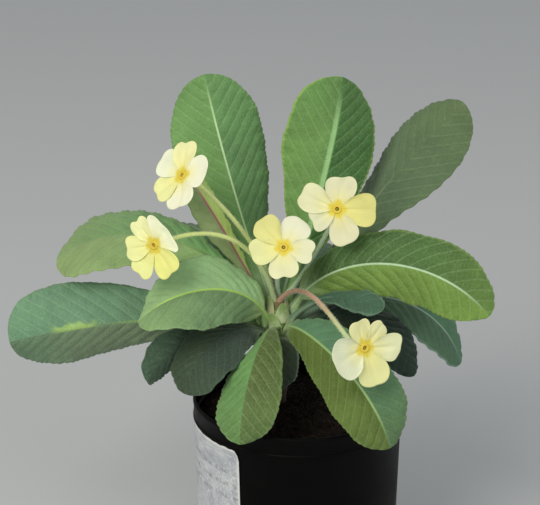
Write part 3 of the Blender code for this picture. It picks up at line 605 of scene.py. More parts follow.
def label_paper():
    """Coated label paper, weathered: pale grey, scuffed to white, with a worn band of three plain rules.

    The mesh gives place: millimetres along the label, millimetres up it and millimetres from its edge.
    """
    material, tree = new_material("Coated paper, weathered", Roughness=0.7, Specular_IOR_Level=0.3)
    vector, place = place_of(tree)
    stain = add(tree, "ShaderNodeTexNoise", {"Vector": vector, "Scale": 0.09, "Detail": 7.0,
                                             "Roughness": 0.65})
    # Scuffs are drawn out along the label.
    drawn = add(tree, "ShaderNodeMapping", {"Vector": vector, "Scale": (0.12, 0.7, 1.0)})
    scuff = add(tree, "ShaderNodeTexNoise", {"Vector": drawn, "Scale": 1.0, "Detail": 6.0})
    wear = add(tree, "ShaderNodeTexNoise", {"Vector": vector, "Scale": 0.5, "Detail": 5.0})
    # The rules are 2.2 mm thick and 7 mm apart, in blocks of 9 mm with 3 mm between them.
    printed = add(tree, "ShaderNodeMath", {0: place["Y"], 1: 50.0, 2: 10.0}, operation="COMPARE")
    for distance, pitch, part in ((place["Y"], 7.0, 2.2), (place["X"], 12.0, 9.0)):
        past = add(tree, "ShaderNodeMath", {0: distance, 1: pitch}, operation="MODULO")
        inside = add(tree, "ShaderNodeMath", {0: past, 1: part}, operation="LESS_THAN")
        printed = add(tree, "ShaderNodeMath", {0: printed, 1: inside}, operation="MULTIPLY")
    ink = add(tree, "ShaderNodeMath", {0: printed, 1: 0.6}, operation="MULTIPLY")
    # Stained paper, its scuffs, what is left of the print, and an edge rubbed white within about 1.5 mm
    colour = "#A1A4AB"
    layers = (("#C3C7C9", stain, 0.35, 0.65, 1.0), ("#DADBD8", scuff, 0.52, 0.68, 0.8),
              ("#77787F", wear, 0.4, 0.6, ink), ("#E4E4E0", place["Z"], 1.6, 0.3, 0.8))
    for paint, value, start, end, strength in layers:
        colour, _ = layer(tree, colour, paint, value, start, end, strength, "LINEAR")
    return finished(material, colour, scuff, 0.4, 0.0002)


# Leaves

def crown_radius(height):
    """The crown's radius at this height."""
    radii, heights = zip(*CROWN_PROFILE)
    return np.interp(height, heights, radii)


def leaf_midrib(leaf, t):
    """Points along the midrib at the shares t, with the blade's upward and sideways directions there."""
    fine = np.linspace(0, 1, 241)
    heading = leaf.heading + leaf.swing * fine
    rise = leaf.rise + (leaf.dip - leaf.rise) * fine
    along = direction(heading, rise)
    lean = abs(math.sin(math.radians(leaf.rise)))
    reach = crown_radius(leaf.height) + SEAT_GAP + STALK_THICK / 2 * lean
    seat = reach * direction(leaf.seat, 0.0) + (*CROWN_CENTRE, leaf.height)
    steps = (along[1:] + along[:-1]) / 2 * leaf.length / (len(fine) - 1)
    path = seat + np.vstack([np.zeros(3), np.cumsum(steps, 0)])
    up = direction(heading, rise + 90)
    side = np.cross(along, up)
    roll = np.radians(leaf.roll + (leaf.roll_tip - leaf.roll) * fine)[:, None]
    face = up * np.cos(roll) + side * np.sin(roll)
    across = side * np.cos(roll) - up * np.sin(roll)
    curves = [np.stack([np.interp(t, fine, v[:, i]) for i in range(3)], -1) for v in (path, face, across)]
    # A stalk's foot is sunk in the crown, so the path also runs back from its start.
    curves[0] += np.minimum(t, 0)[:, None] * leaf.length * along[0]
    return curves


def leaf_half_width(leaf, t):
    """Half the blade's width, and how far along the blade each share is."""
    q = np.clip((t - leaf.stalk) / (1 - leaf.stalk), 0, 1)
    spoon = q ** leaf.taper * np.sqrt(1 - q ** 4)
    widest = (leaf.taper / (leaf.taper + 2)) ** 0.25
    full = widest ** leaf.taper * math.sqrt(1 - widest ** 4)
    least = STALK_HALF_WIDTH * (1 - q) + TIP_HALF_WIDTH * q
    return np.maximum(leaf.width / 2 * spoon / full, least), q


def leaf_colours(leaf, dress, u, q, half, seed):
    """Colours of the blade's upper and under side, midrib and margin, with how strongly the last two show."""
    plus, minus, rib, rim, tip = map(linear, (dress.plus, dress.minus, dress.rib, dress.rim, dress.tip))
    x, y = half * u, q * leaf.length
    # The halves' colours hold painted light and shade: one half is painted lighter as if turned to the light,
    # the other darker.
    blade = mixed(minus, plus, smooth_step(-0.02, 0.02, u))
    blade = mixed(blade, tip, 0.5 * smooth_step(0.55, 1.0, q))
    blade = blade * (1 + 0.06 * ripples(x, y, 14.0, seed))[..., None]
    # Painted light: near makes the blade brighter by its stalk, to offset the shade that other leaves cast
    # there.
    blade = blade * (1 + dress.near * (1 - smooth_step(0.1, 0.5, q)))[..., None]
    blade = mixed(blade, 0.5 * rib + 0.5 * linear(LEAF_FOOT), 0.6 * (1 - smooth_step(0.0, 0.16, q)))
    # Green that is darker than an ordinary leaf's shows darker from below too.
    share = 0.35 + 0.65 * blade[..., 1:2] / linear(LEAF_ORDINARY)[1]
    under = 0.62 * blade + 0.38 * linear(LEAF_UNDERSIDE) * share
    # A painted highlight beside the midrib, where light catches its fold, is on the upper side only.
    if dress.patch:
        start, end = PAINTED_HIGHLIGHT_SPAN
        edge = PAINTED_HIGHLIGHT_WIDTH + 0.9 * ripples(x, y, 5.0, seed + 4)
        wide = smooth_step(-1.0, -0.4, x) * (1 - smooth_step(edge - 0.5, edge + 0.5, x))
        long = smooth_step(start, start + 0.07, q) * (1 - smooth_step(end - 0.06, end, q))
        blade = mixed(blade, linear(dress.patch), 0.8 * wide * long)
    shows = 1 - smooth_step(dress.rib_reach - 0.25, dress.rib_reach + 0.02, q)
    rib, rim = (np.broadcast_to(colour, blade.shape) for colour in (rib, rim))
    return (with_alpha(blade), with_alpha(under)), with_alpha(rib, shows), with_alpha(rim, dress.rim_share)


def make_leaf(name, leaf, dress, skin, seed):
    """One leaf: a puckered blade with a round-toothed, ruffled margin, thinning out from a fleshy stalk."""
    rows = round(leaf.length / ROW_STEP)
    sunk = STALK_SUNK / leaf.length
    # Rows of points stand closer towards the tip, and columns towards the midrib.
    t = -sunk + (1 + sunk) * (1 - (1 - np.linspace(0, 1, rows + 1)) ** 1.6)
    share = np.arange(-COLUMNS, COLUMNS + 1) / COLUMNS
    u = (np.sign(share) * abs(share) ** 1.25)[None, :]
    path, face, across = (v[:, None, :] for v in leaf_midrib(leaf, t))
    half, q = leaf_half_width(leaf, np.maximum(t, 0)[:, None])
    y = t[:, None] * leaf.length
    half = half + SHEATH_FLARE * np.exp(-np.maximum(y, 0) / SHEATH_LENGTH)
    u, q, y = (np.broadcast_to(v, (len(t), u.shape[1])) for v in (u, q, y))
    blade_share = smooth_step(1.2, 3.0, half / STALK_HALF_WIDTH)

    random = np.random.default_rng(seed)
    shift, ruffle_shift = random.uniform(0, 2 * math.pi, 2)
    tooth = abs(np.sin(math.pi * y / TOOTH_SPACING + 0.8 * ripples(y, u * 9, 9.0, seed + 1))) - 0.6
    reach_out = TOOTH * tooth + 0.5 * ripples(y, np.sign(u) * 40, 11.0, seed + 2)
    x = half * u + np.sign(u) * abs(u) ** 7 * reach_out * blade_share
    # Side veins run forward and out, and the blade bulges up in the meshes between them.
    spacing = VEIN_SPACING * (0.55 + 0.45 * leaf.length / 110)
    phase = (y - VEIN_SLOPE * abs(x) ** 1.12) / spacing + np.where(u > 0, 0.5, 0.0)
    cells = phase + 0.35 * ripples(x, y, 5.0, seed + 3)
    between = abs(np.sin(math.pi * phase)) ** 0.8
    meshes = abs(np.sin(math.pi * (abs(x) / (0.55 * spacing) + 0.5 * np.sin(math.pi * cells)))) ** 0.8
    clear = smooth_step(0.8, 3.2, abs(x)) * smooth_step(0.3, 3.5, half - abs(half * u)) * blade_share
    pucker = BULGE * (0.7 * between + 0.5 * between * meshes - 0.45) * clear

    fold = math.radians(leaf.fold)
    fullness = half / (leaf.width / 2)
    waving = np.sin(2 * math.pi * WAVES * t[:, None] + np.where(u > 0, 0, 1.7))
    wave = WAVE * waving * abs(u) ** 1.5 * fullness
    ruffling = np.sin(2 * math.pi * y / RUFFLE_SPACING + np.where(u > 0, shift, ruffle_shift))
    margin = (RUFFLE * abs(u) ** 4 * ruffling + 0.35 * tooth * abs(u) ** 9) * blade_share
    height = wave + margin - half * abs(u) * math.sin(fold) - half * CURL * u ** 2
    middle = path + across * (x * math.cos(fold))[..., None] + face * height[..., None]

    stalk = np.clip(1 - 4 * q, 0, 1)
    blade = BLADE_THICK - 0.3 * abs(u)
    round_stalk = STALK_THICK * np.sqrt(np.clip(1 - 0.8 * u ** 2, 0, 1))
    thick = blade + (round_stalk - blade) * stalk
    keel = (KEEL * (1 - q) + 0.25) * np.exp(-(x / 1.1) ** 2) * (1 - stalk)
    groove = GROOVE * (1 - 0.6 * q) * np.exp(-(x / 0.8) ** 2)
    upper = middle + face * (0.4 * thick - groove + pucker)[..., None]
    lower = middle - face * (0.6 * thick + keel - 0.8 * pucker)[..., None]

    tints, rib, rim = leaf_colours(leaf, dress, u, q, half, seed)
    place = np.stack([abs(x) / dress.rib_width, half - abs(half * u), phase], -1)
    new_piece(f"dressed_{name}", both_sides(upper, lower), shell_faces(*u.shape), [skin], [name],
              attributes={"tint": both_sides(*tints), "rib": both_sides(rib), "rim": both_sides(rim),
                          "place": both_sides(place)})


def make_leaves():
    """All leaves, in the skin of their slot."""
    skins = {
        "leaf_light": leaf_skin("Primrose leaf, young", 0.52, "#A8C68C", 0.085),
        "leaf_olive": leaf_skin("Primrose leaf, full grown", 0.55, "#A0B782", 0.06),
        # Shaded and deep green leaves are partly their own older green and partly painted shade from the
        # leaves above them.
        "leaf_dark": leaf_skin("Primrose leaf, shaded", 0.58, "#839F80", 0.06),
        "leaf_deep": leaf_skin("Primrose leaf, old and deep green", 0.6, "#4A6350", 0.06),
    }
    for number, (name, leaf) in enumerate(LEAVES.items()):
        dress = DRESSES[name]
        make_leaf(name, leaf, dress, skins[dress.slot], 100 + 10 * number)


# Flowers

def flower_axes(flower):
    """The flower's facing direction and the two directions across it, the second pointing up at turn 0."""
    facing = direction(flower.heading, flower.rise)
    level = unit(np.cross((0.0, 0.0, 1.0), facing))
    up = np.cross(facing, level)
    turn = math.radians(flower.turn)
    return facing, level * math.cos(turn) + up * math.sin(turn), up * math.cos(turn) - level * math.sin(turn)


def in_world(flower, local):
    """Points given in a flower's own axes, turned and moved to where it stands."""
    facing, level, up = flower_axes(flower)
    local = np.asarray(local, float)
    return np.array(flower.centre) + local[:, :1] * level + local[:, 1:2] * up + local[:, 2:] * facing


def petal(number, size, shape, seed):
    """Points, faces, tint and place of one petal, a thin crepe sheet with a crease and a notched tip."""
    a, b = np.meshgrid(np.linspace(-1, 1, 2 * PETAL_COLUMNS + 1),
                       1 - (1 - np.linspace(0, 1, PETAL_ROWS + 1)) ** 1.2)
    uneven = ripples(a * 9.0, 0 * a, 4.0, seed)
    half = math.radians(PETAL_HALF_ANGLE * shape.width)
    cut = math.cos(half) / np.cos(half * a) - 0.2 * a ** 16
    outline = (1 - shape.square) * (1 - 0.55 * a ** 4) + shape.square * cut + 0.03 * uneven
    tip = PETAL_REACH * size * shape.reach * outline - shape.notch * np.exp(-(a / 0.2) ** 2)
    radius = PETAL_ROOT + (tip - PETAL_ROOT) * b
    opening = smooth_step(0.0, 0.4, b)
    angle = math.radians(90 + 360 / PETALS * number + shape.swing) + half * (0.92 + 0.1 * opening) * a
    tilt = 0.45 * a * b * opening
    crease = -0.45 * np.exp(-(a / 0.16) ** 2) * np.sin(math.pi * np.clip(b, 0, 1)) ** 0.7
    dome = 0.55 * (1 - a ** 2) * b * (1 - 0.55 * b)
    ruffle = 0.32 * b ** 3 * np.sin(4.2 * a + seed) * abs(a)
    ruffle = ruffle + 0.12 * ripples(a * 9, b * 15, 3.0, seed + 1) * b
    z = 0.1 + 0.75 * b ** 1.3 + tilt + crease + dome + ruffle + shape.lift * b ** 1.5
    upper = about_axis(radius, angle, z)
    lower = about_axis(radius, angle, z - (PETAL_THICK - 0.15 * b))
    tint = linear(shape.colour) * (1 + 0.03 * ripples(upper[..., 0], upper[..., 1], 5.0, seed + 2)[..., None])
    tint = mixed(tint, linear(PETAL_BASE), 0.5 * (1 - smooth_step(0.15, 0.75, b)))
    tint = with_alpha(np.clip(tint, 0, 1))
    place = np.stack([radius, a, b], -1)
    # Angles grow anticlockwise seen from the front, so the sheet's faces are flipped.
    faces = shell_faces(*a.shape, flip=True)
    return both_sides(upper, lower), faces, both_sides(tint), both_sides(place)


def ball(centre, radius, sides=16, rings=8):
    """Points and faces of a small round knob."""
    between = [math.pi * i / rings for i in range(1, rings)]
    belt = [(radius * math.sin(a), centre - radius * math.cos(a)) for a in between]
    return turned([(0, centre - radius), *belt, (0, centre + radius)], sides)


def make_bloom(name, flower, materials, seed):
    """A bloom: five lapping petals, the eye's raised ring, the tube behind it and the stigma in its mouth."""
    points, faces, tints, places, kinds = [], [], [], [], []

    def join(new_points, new_faces, tint=None, place=None, kind=0):
        offset = sum(len(p) for p in points)
        count = len(new_points)
        points.append(np.asarray(new_points, float))
        faces.extend(tuple(i + offset for i in face) for face in new_faces)
        tints.append(np.ones((count, 4)) if tint is None else tint)
        places.append(np.zeros((count, 3)) if place is None else place)
        kinds.extend([kind] * len(new_faces))

    for number, shape in enumerate(BLOOMS[name]):
        join(*petal(number, flower.size, shape, seed + 5 * number))
    tube = [(0, -TUBE_LENGTH), (TUBE_RADIUS, -TUBE_LENGTH), (TUBE_RADIUS, -4.5), (1.75, -2.6), (2.05, -0.9),
            (EYE_RADIUS, 0.0), (EYE_RADIUS, 0.35), (EYE_RADIUS - 0.3, 0.62), (THROAT_RADIUS + 0.25, 0.62),
            (THROAT_RADIUS, 0.35), (THROAT_RADIUS - 0.1, -1.0), (THROAT_RADIUS - 0.3, -3.2), (0, -3.4)]
    join(*turned(tube, 40), kind=1)
    join(*ball(-0.35, 0.45), kind=2)
    new_piece(f"dressed_bloom_{name}", in_world(flower, np.concatenate(points)), faces, materials,
              [f"bloom_{name}"], face_materials=kinds,
              attributes={"tint": np.concatenate(tints), "place": np.concatenate(places)})


def pedicel_path(flower, t):
    """Points of the smooth curve from the crown's top to the flower's back at the shares t."""
    facing, _, _ = flower_axes(flower)
    top = CROWN_PROFILE[-1][1] + 0.3 + STEM_RADIUS * math.cos(math.radians(flower.lean_rise))
    start = (*CROWN_CENTRE, top) + PEDICEL_RING * direction(flower.seat, 0.0)
    end = np.array(flower.centre) - facing * (TUBE_LENGTH + CALYX_FOOT)
    first = start + flower.pull * direction(flower.lean, flower.lean_rise)
    second = end - flower.push * facing
    t = t[:, None]
    path = (1 - t) ** 3 * start + 3 * (1 - t) ** 2 * t * first + 3 * (1 - t) * t ** 2 * second + t ** 3 * end
    return path, unit(first - start)


def stem_tree():
    """Geometry Nodes: a stem along a curve, with closed ends and its share of the way in "along"."""
    tree, given = new_tree("Flower stem", {"Radius": 0.0012, "Sides": 14, "Spacing": 0.001})
    even = add(tree, "GeometryNodeResampleCurve", {"Curve": given["Geometry"], "Length": given["Spacing"]},
               mode="LENGTH")
    share = add(tree, "GeometryNodeSplineParameter").outputs["Factor"]
    kept = add(tree, "GeometryNodeStoreNamedAttribute", {"Geometry": even, "Name": "along", "Value": share},
               data_type="FLOAT", domain="POINT")
    # The stem is thickest at its foot and again under the calyx.
    swell = add(tree, "ShaderNodeFloatCurve", {"Value": share})
    line = swell.mapping.curves[0]
    line.points[0].location = (0.0, 1.0)
    line.points[1].location = (1.0, 0.98)
    for spot in ((0.12, 0.88), (0.6, 0.8), (0.93, 0.84)):
        line.points.new(*spot)
    swell.mapping.update()
    radius = add(tree, "ShaderNodeMath", {0: swell, 1: given["Radius"]}, operation="MULTIPLY")
    outline = add(tree, "GeometryNodeCurvePrimitiveCircle", {"Resolution": given["Sides"], "Radius": 1.0})
    tube = add(tree, "GeometryNodeCurveToMesh", {"Curve": kept, "Profile Curve": outline, "Scale": radius,
                                                 "Fill Caps": True})
    return end_tree(tree, tube, given["Material"])


def hair_tree():
    """Geometry Nodes: short three-sided hairs that stand on a surface, as many a square metre as asked."""
    tree, given = new_tree("Down", {"Density": 400000.0, "Length": 0.0009, "Thickness": 0.00006, "Seed": 1})
    spots = add(tree, "GeometryNodeDistributePointsOnFaces", {
        "Mesh": given["Geometry"], "Density": given["Density"], "Seed": given["Seed"]})
    hair = add(tree, "GeometryNodeMeshCone", {"Vertices": 3, "Radius Top": 0.0,
                                              "Radius Bottom": given["Thickness"], "Depth": given["Length"]})
    size = add(tree, "FunctionNodeRandomValue", {2: 0.5, 3: 1.15, "Seed": given["Seed"]}, data_type="FLOAT")
    copies = add(tree, "GeometryNodeInstanceOnPoints", {
        "Points": spots, "Instance": hair, "Rotation": spots.outputs["Rotation"], "Scale": size})
    return end_tree(tree, copies, given["Material"])


def poly_curve(name, points):
    """A curve through points in millimetres."""
    curve = bpy.data.curves.new(name, "CURVE")
    curve.dimensions = "3D"
    spline = curve.splines.new("POLY")
    spline.points.add(len(points) - 1)
    for spot, point in zip(spline.points, points):
        spot.co = (*(point * MM), 1.0)
    return curve


def calyx(flower, colour):
    """Points, faces and tint of a ribbed calyx whose mouth is cut into five long teeth."""
    sides = 60
    around = 2 * math.pi * np.arange(sides) / sides + math.pi / 2
    rib = (0.5 + 0.5 * np.cos(PETALS * (around - math.pi / 2))) ** 1.4
    point = 1 - abs(((PETALS * (around - math.pi / 2) / (2 * math.pi)) + 0.5) % 1 - 0.5) * 2
    mouth = -5.6 + 3.6 * point ** 1.15
    foot = -TUBE_LENGTH - CALYX_FOOT
    stages = np.array([0.0, 0.06, 0.14, 0.25, 0.4, 0.55, 0.7, 0.82, 0.92, 1.0])
    heights = (foot, -9.8, -8.0, -6.0, -2.0)
    valley, crest = (1.25, 2.15, 2.4, 2.45, 2.7), (1.3, 2.5, 2.85, 3.0, 3.5)
    rings, tint = [], []
    # The outer wall runs up to the mouth, and the inner one back down to the floor of the cup.
    for wall, levels in ((0.0, stages), (0.35, stages[:3:-1])):
        for stage in levels:
            height = foot + stage * (mouth - foot)
            narrow, wide = (np.interp(height, heights, radii) for radii in (valley, crest))
            rings.append(about_axis(narrow * (1 - rib) + wide * rib - wall, around, height))
            green = mixed(linear(colour), linear(CALYX_TIP), 0.5 * stage)
            tint.append(green * (1 - 0.28 * rib[:, None]))
    points = np.vstack([*rings, (0, 0, foot), (0, 0, rings[-1][:, 2].mean())])
    tint = np.vstack([*tint, linear(colour), linear(colour)])
    return in_world(flower, points), stack_faces(len(rings), sides), with_alpha(tint)


def make_stalk(name, flower, trees, skin, down, seed):
    """A flower's stalk with its calyx, and the down that stands on both."""
    path, start = pedicel_path(flower, np.linspace(0, 1, 60))
    path = np.vstack([path[0] - PEDICEL_SUNK * start, path])
    stem = grown(f"dressed_flower_stalk_{name}", poly_curve(name, path), trees["stem"],
                 {"Radius": STEM_RADIUS * MM, "Material": skin})
    share = np.zeros(len(stem.vertices), np.float32)
    stem.attributes["along"].data.foreach_get("value", share)
    foot, top, middle = STALK_COLOURS[name]
    change = smooth_step(middle - 0.25, middle + 0.25, share)
    set_attribute(stem, "tint", with_alpha(mixed(linear(foot), linear(top), change)))
    stem.shade_smooth()
    place_piece(stem.name, stem, [f"flower_stalk_{name}"])

    points, faces, tint = calyx(flower, top)
    cup = new_piece(f"calyx_{name}", points, faces, [skin], [f"flower_stalk_{name}"],
                    sharp=70, attributes={"tint": tint})
    for host, part, density in ((stem, "stalk", STALK_DOWN), (cup.data, "calyx", CALYX_DOWN)):
        hairs = grown(f"{part}_down_{name}", host, trees["hair"],
                      {"Density": density, "Seed": seed, "Material": down})
        place_piece(hairs.name, hairs)


def make_flowers():
    """All blooms and stalks."""
    trees = {"stem": stem_tree(), "hair": hair_tree()}
    petal_finish = petal_skin()
    # The waxy ring and throat of the eye are yolk yellow.
    eye = two_tone("Primrose eye", "#D2B23A", "#DFCB52", 500.0, 0.5, 0.0001, specular=0.35, span=(0.0, 1.0),
                   detail=3.0, fineness=0.5, strength=0.4)
    # The stigma is a yellow-green knob in the throat.
    stigma = two_tone("Stigma, green", "#8C9A3A", "#B9BF5A", 900.0, 0.5, 0.0001)
    # Down is pale, so it gives stalks and calyces a light outline.
    down = two_tone("Plant down", "#D5DDB8", "#E6EBD2", 300.0, 0.6, 0.00005)
    skin = tinted_skin("Flower stalk, downy", 0.55, 0.08, 700.0, 0.0002)
    for number, (name, flower) in enumerate(FLOWERS.items()):
        make_bloom(name, flower, [petal_finish, eye, stigma], 500 + 40 * number)
        make_stalk(name, flower, trees, skin, down, 700 + number)


# Crown

def young_sheath(number, seed):
    """Points, faces and tint of one small clasping sheath on the crown's head."""
    rise = number / (SHEATHS - 1)
    foot, length = 111.0 + 29.0 * rise ** 0.85, 14.0 - 5.0 * rise
    w, s = np.meshgrid(np.linspace(-1, 1, 11), np.linspace(0, 1, 12))
    height = foot + length * s
    outline = np.sqrt(1 - 0.97 * s ** 2.6) * (1 - 0.15 * s)
    turn = np.radians(GOLDEN_TURN * number) + np.radians(50 - 8 * rise) * w * outline
    flare = (1.5 - 0.6 * rise) * s ** 2.2
    edge = 0.35 * abs(w) ** 3 + 0.15 * np.cos(3 * math.pi * w) * s
    radius = crown_radius(height) + 0.3 + flare + edge
    half_thick = 0.25 - 0.12 * s
    sheets = [about_axis(radius + side * half_thick, turn, height, CROWN_CENTRE) for side in (1, -1)]
    pale, green, pink = map(linear, ("#B9C79B", "#7C9A58", "#B08468"))
    blushed = mixed(pale, pink, 0.45 * smooth_step(0.6, 1.0, rise))
    tint = mixed(blushed, green, smooth_step(0.1, 0.9, s) * (1 - 0.4 * abs(w) ** 2))
    tint = tint * (1 + 0.05 * ripples(w * 4, s * 12, 2.0, seed)[..., None])
    return both_sides(*sheets), shell_faces(*s.shape, flip=True), both_sides(tint)


def make_crown():
    """The neck, ringed by the scars and sheaths of older leaves, woody below and pale green at its head."""
    sides, rings = 72, 150
    low, high = CROWN_PROFILE[0][1], CROWN_PROFILE[-1][1]
    around, height = np.meshgrid(np.radians(np.arange(sides) * 360 / sides), np.linspace(low, high, rings))
    relief = np.zeros(height.shape)
    for k in range(CROWN_SCARS):
        turn = (around - math.radians(GOLDEN_TURN * k) + math.pi) % (2 * math.pi) - math.pi
        off = (turn / SCAR_HALF_ANGLE) ** 2
        arch = SCARS_FROM + SCARS_RISE * k / CROWN_SCARS - 1.6 * off
        step = np.clip(1 - off, 0, 1) * np.clip(1 - (arch - height) / 5.5, 0, 1) * (height <= arch)
        relief = np.maximum(relief, step)
    radius = crown_radius(height) - 0.35 + 0.95 * relief * smooth_step(90, 98, height)
    radius = radius + 0.12 * ripples(around * 6, height, 1.6, 41)
    points = about_axis(radius, around, height, CROWN_CENTRE).reshape(-1, 3)
    points = np.vstack([points, (*CROWN_CENTRE, low), (*CROWN_CENTRE, high + 0.6)])
    faces = stack_faces(rings, sides)
    wood, green, blush = map(linear, ("#4A3B2C", "#8FA765", "#A5745C"))
    tint = mixed(wood, green, smooth_step(104, 132, height))
    tint = mixed(tint, blush, 0.6 * smooth_step(139, 142, height)) * (0.55 + 0.55 * relief)[..., None]
    tint = np.vstack([tint.reshape(-1, 3), wood, blush])
    for number in range(SHEATHS):
        more, more_faces, more_tint = young_sheath(number, 300 + number)
        faces += [tuple(i + len(points) for i in face) for face in more_faces]
        points, tint = np.vstack([points, more]), np.vstack([tint, more_tint])
    skin = tinted_skin("Primrose neck, woody to sheathed", 0.7, 0.12, 260.0, 0.0004)
    new_piece("dressed_crown", points, faces, [skin], ["crown"],
              attributes={"tint": with_alpha(tint)})


# Soil

def soil_height(x, y):
    """The height of the soil: a mound in the middle, with clods and finer lumps."""
    reach = np.hypot(x, y) / (BODY_TOP_RADIUS - POT_WALL)
    clods = np.sin(0.33 * x + 1) * np.cos(0.29 * y) + 0.6 * np.sin(0.21 * x - 0.37 * y)
    fine = 0.45 * ripples(x, y, 5.0, 61) + 0.3 * ripples(x, y, 2.2, 62)
    return SOIL_EDGE + SOIL_MOUND * (1 - reach ** 2) + (0.7 * clods + fine) * (1 - reach ** 8)


def crumb_tree():
    """Geometry Nodes: crumbs of several sizes scattered over the upward faces of the soil."""
    tree, given = new_tree("Peat crumbs", {"Density": 200000.0, "Size": 0.0011, "Seed": 1})
    upward = add(tree, "ShaderNodeSeparateXYZ", {0: add(tree, "GeometryNodeInputNormal")}).outputs["Z"]
    flat = add(tree, "FunctionNodeCompare", {0: upward, 1: 0.4}, operation="GREATER_THAN")
    spots = add(tree, "GeometryNodeDistributePointsOnFaces", {
        "Mesh": given["Geometry"], "Selection": flat, "Density": given["Density"], "Seed": given["Seed"]})
    crumb = add(tree, "GeometryNodeMeshIcoSphere", {"Radius": given["Size"], "Subdivisions": 1})
    size, turn = (
        add(tree, "FunctionNodeRandomValue", {0: low, 1: high, "Seed": given["Seed"]},
            data_type="FLOAT_VECTOR")
        for low, high in (((0.35, 0.35, 0.25), (1.5, 1.2, 0.9)), ((0.0, 0.0, 0.0), (6.28, 6.28, 6.28))))
    copies = add(tree, "GeometryNodeInstanceOnPoints", {"Points": spots, "Instance": crumb, "Rotation": turn,
                                                        "Scale": size})
    realised = add(tree, "GeometryNodeRealizeInstances", {"Geometry": copies})
    # Each corner is pushed in or out a little, so that no crumb is a plain ball.
    rough = add(tree, "ShaderNodeTexNoise", {"Scale": 700.0}).outputs["Color"]
    centred = add(tree, "ShaderNodeVectorMath", {0: rough, 1: (0.5, 0.5, 0.5)}, operation="SUBTRACT")
    push = add(tree, "ShaderNodeVectorMath", {0: centred, "Scale": 0.0012}, operation="SCALE")
    broken = add(tree, "GeometryNodeSetPosition", {"Geometry": realised, "Offset": push})
    return end_tree(tree, broken, given["Material"])


def make_soil():
    """Peat compost that fills the pot, with crumbs strewn over it."""
    sides, rings, gap = 120, 39, 0.3
    floor = 2 * POT_FLOOR + gap
    angles = 2 * math.pi * np.arange(sides) / sides
    radii = np.linspace(1.0, 0.0, rings + 1)[:-1, None] * (body_radius(SOIL_EDGE) - POT_WALL - gap)
    x, y = radii * np.cos(angles), radii * np.sin(angles)
    top = np.stack([x, y, soil_height(x, y)], -1).reshape(-1, 3)
    foot = about_axis(body_radius(floor) - POT_WALL - gap, angles, floor)
    points = np.vstack([foot, top, (0, 0, floor), (0, 0, float(soil_height(0.0, 0.0)))])
    # Damp peat is matt and nearly black, and its dry crumbs are a little browner.
    peat = two_tone("Peat compost, damp", "#0D0B09", "#221B17", 380.0, 0.95, 0.0006, specular=0.12)
    crumb = two_tone("Peat crumb", "#110E0C", "#2D241D", 160.0, 0.95, 0.0003, specular=0.1)
    soil = new_piece("dressed_soil", points, stack_faces(1 + rings, sides), [peat], ["soil"])
    crumbs = grown("soil_crumbs", soil.data, crumb_tree(), {"Seed": 8, "Material": crumb})
    place_piece("soil_crumbs", crumbs)


# Pot and label

def body_radius(height):
    """The pot's outer radius below its rim."""
    return FOOT_RADIUS + (BODY_TOP_RADIUS - FOOT_RADIUS) * height / (POT_HEIGHT - RIM_BAND)


def pot_profile():
    """Half of the pot's section, from the middle of its underside out, up, over the rim and in."""
    shoulder = POT_HEIGHT - RIM_BAND
    inside = RIM_RADIUS - POT_WALL
    floor = 2 * POT_FLOOR
    inner, outer = DRAIN_CHANNEL
    underside = [(0, 0), (inner - 1.0, 0), (inner - 0.3, POT_FLOOR - 0.4), (inner, POT_FLOOR),
                 (outer, POT_FLOOR), (outer + 0.3, POT_FLOOR - 0.4), (outer + 1.0, 0), (FOOT_RADIUS - 1.0, 0),
                 (body_radius(0.3) - 0.4, 0.1), (body_radius(1.0), 1.0)]
    wall = [(body_radius(h), h) for h in (20.0, 40.0, 60.0, shoulder - 0.6)]
    wall.append((body_radius(shoulder) + 0.1, shoulder - 0.05))
    # The rim is a rolled band with a fine bead at its lower edge and another under its lip.
    band = [(RIM_RADIUS - 0.45, shoulder), (RIM_RADIUS, shoulder + 0.3), (RIM_RADIUS, shoulder + 1.2),
            (RIM_RADIUS - 0.35, shoulder + 1.6), (RIM_RADIUS - 0.3, POT_HEIGHT - 2.4),
            (RIM_RADIUS, POT_HEIGHT - 2.0), (RIM_RADIUS, POT_HEIGHT - 0.7),
            (RIM_RADIUS - 0.3, POT_HEIGHT - 0.15), (RIM_RADIUS - 0.75, POT_HEIGHT),
            (inside + 0.3, POT_HEIGHT - 0.1), (inside, POT_HEIGHT - 0.6)]
    ledge = [(inside, shoulder + POT_WALL + 0.5), (BODY_TOP_RADIUS - POT_WALL, shoulder + POT_WALL - 0.5),
             (body_radius(floor) - POT_WALL, floor), (0, floor)]
    return underside + wall + band + ledge


def make_pot():
    """The moulded pot, with a ring of drain holes cut through its floor."""
    pot = new_object("dressed_pot", new_mesh("dressed_pot", *turned(pot_profile(), POT_SIDES)))
    cutters = []
    for i in range(DRAIN_HOLES):
        turn = math.radians(360 / DRAIN_HOLES * (i + 0.5))
        spot = about_axis(sum(DRAIN_CHANNEL) / 2, turn, 0.0)[:2]
        profile = [(0, -2.0), (DRAIN_HOLE_RADIUS, -2.0), (DRAIN_HOLE_RADIUS, 8.0), (0, 8.0)]
        cutters.append(new_object("cutter", new_mesh("cutter", *turned(profile, DRAIN_HOLE_SIDES, spot))))
        hole = pot.modifiers.new(f"hole {i}", "BOOLEAN")
        hole.object = cutters[-1]
        hole.operation = "DIFFERENCE"
    cut = bpy.data.meshes.new_from_object(pot.evaluated_get(bpy.context.evaluated_depsgraph_get()))
    for old in (pot, *cutters):
        bpy.data.objects.remove(old)
    cut.materials.clear()
    cut.materials.append(pot_plastic())
    cut.shade_smooth()
    cut.set_sharp_from_angle(angle=math.radians(40))
    place_piece("dressed_pot", cut, ["pot"])


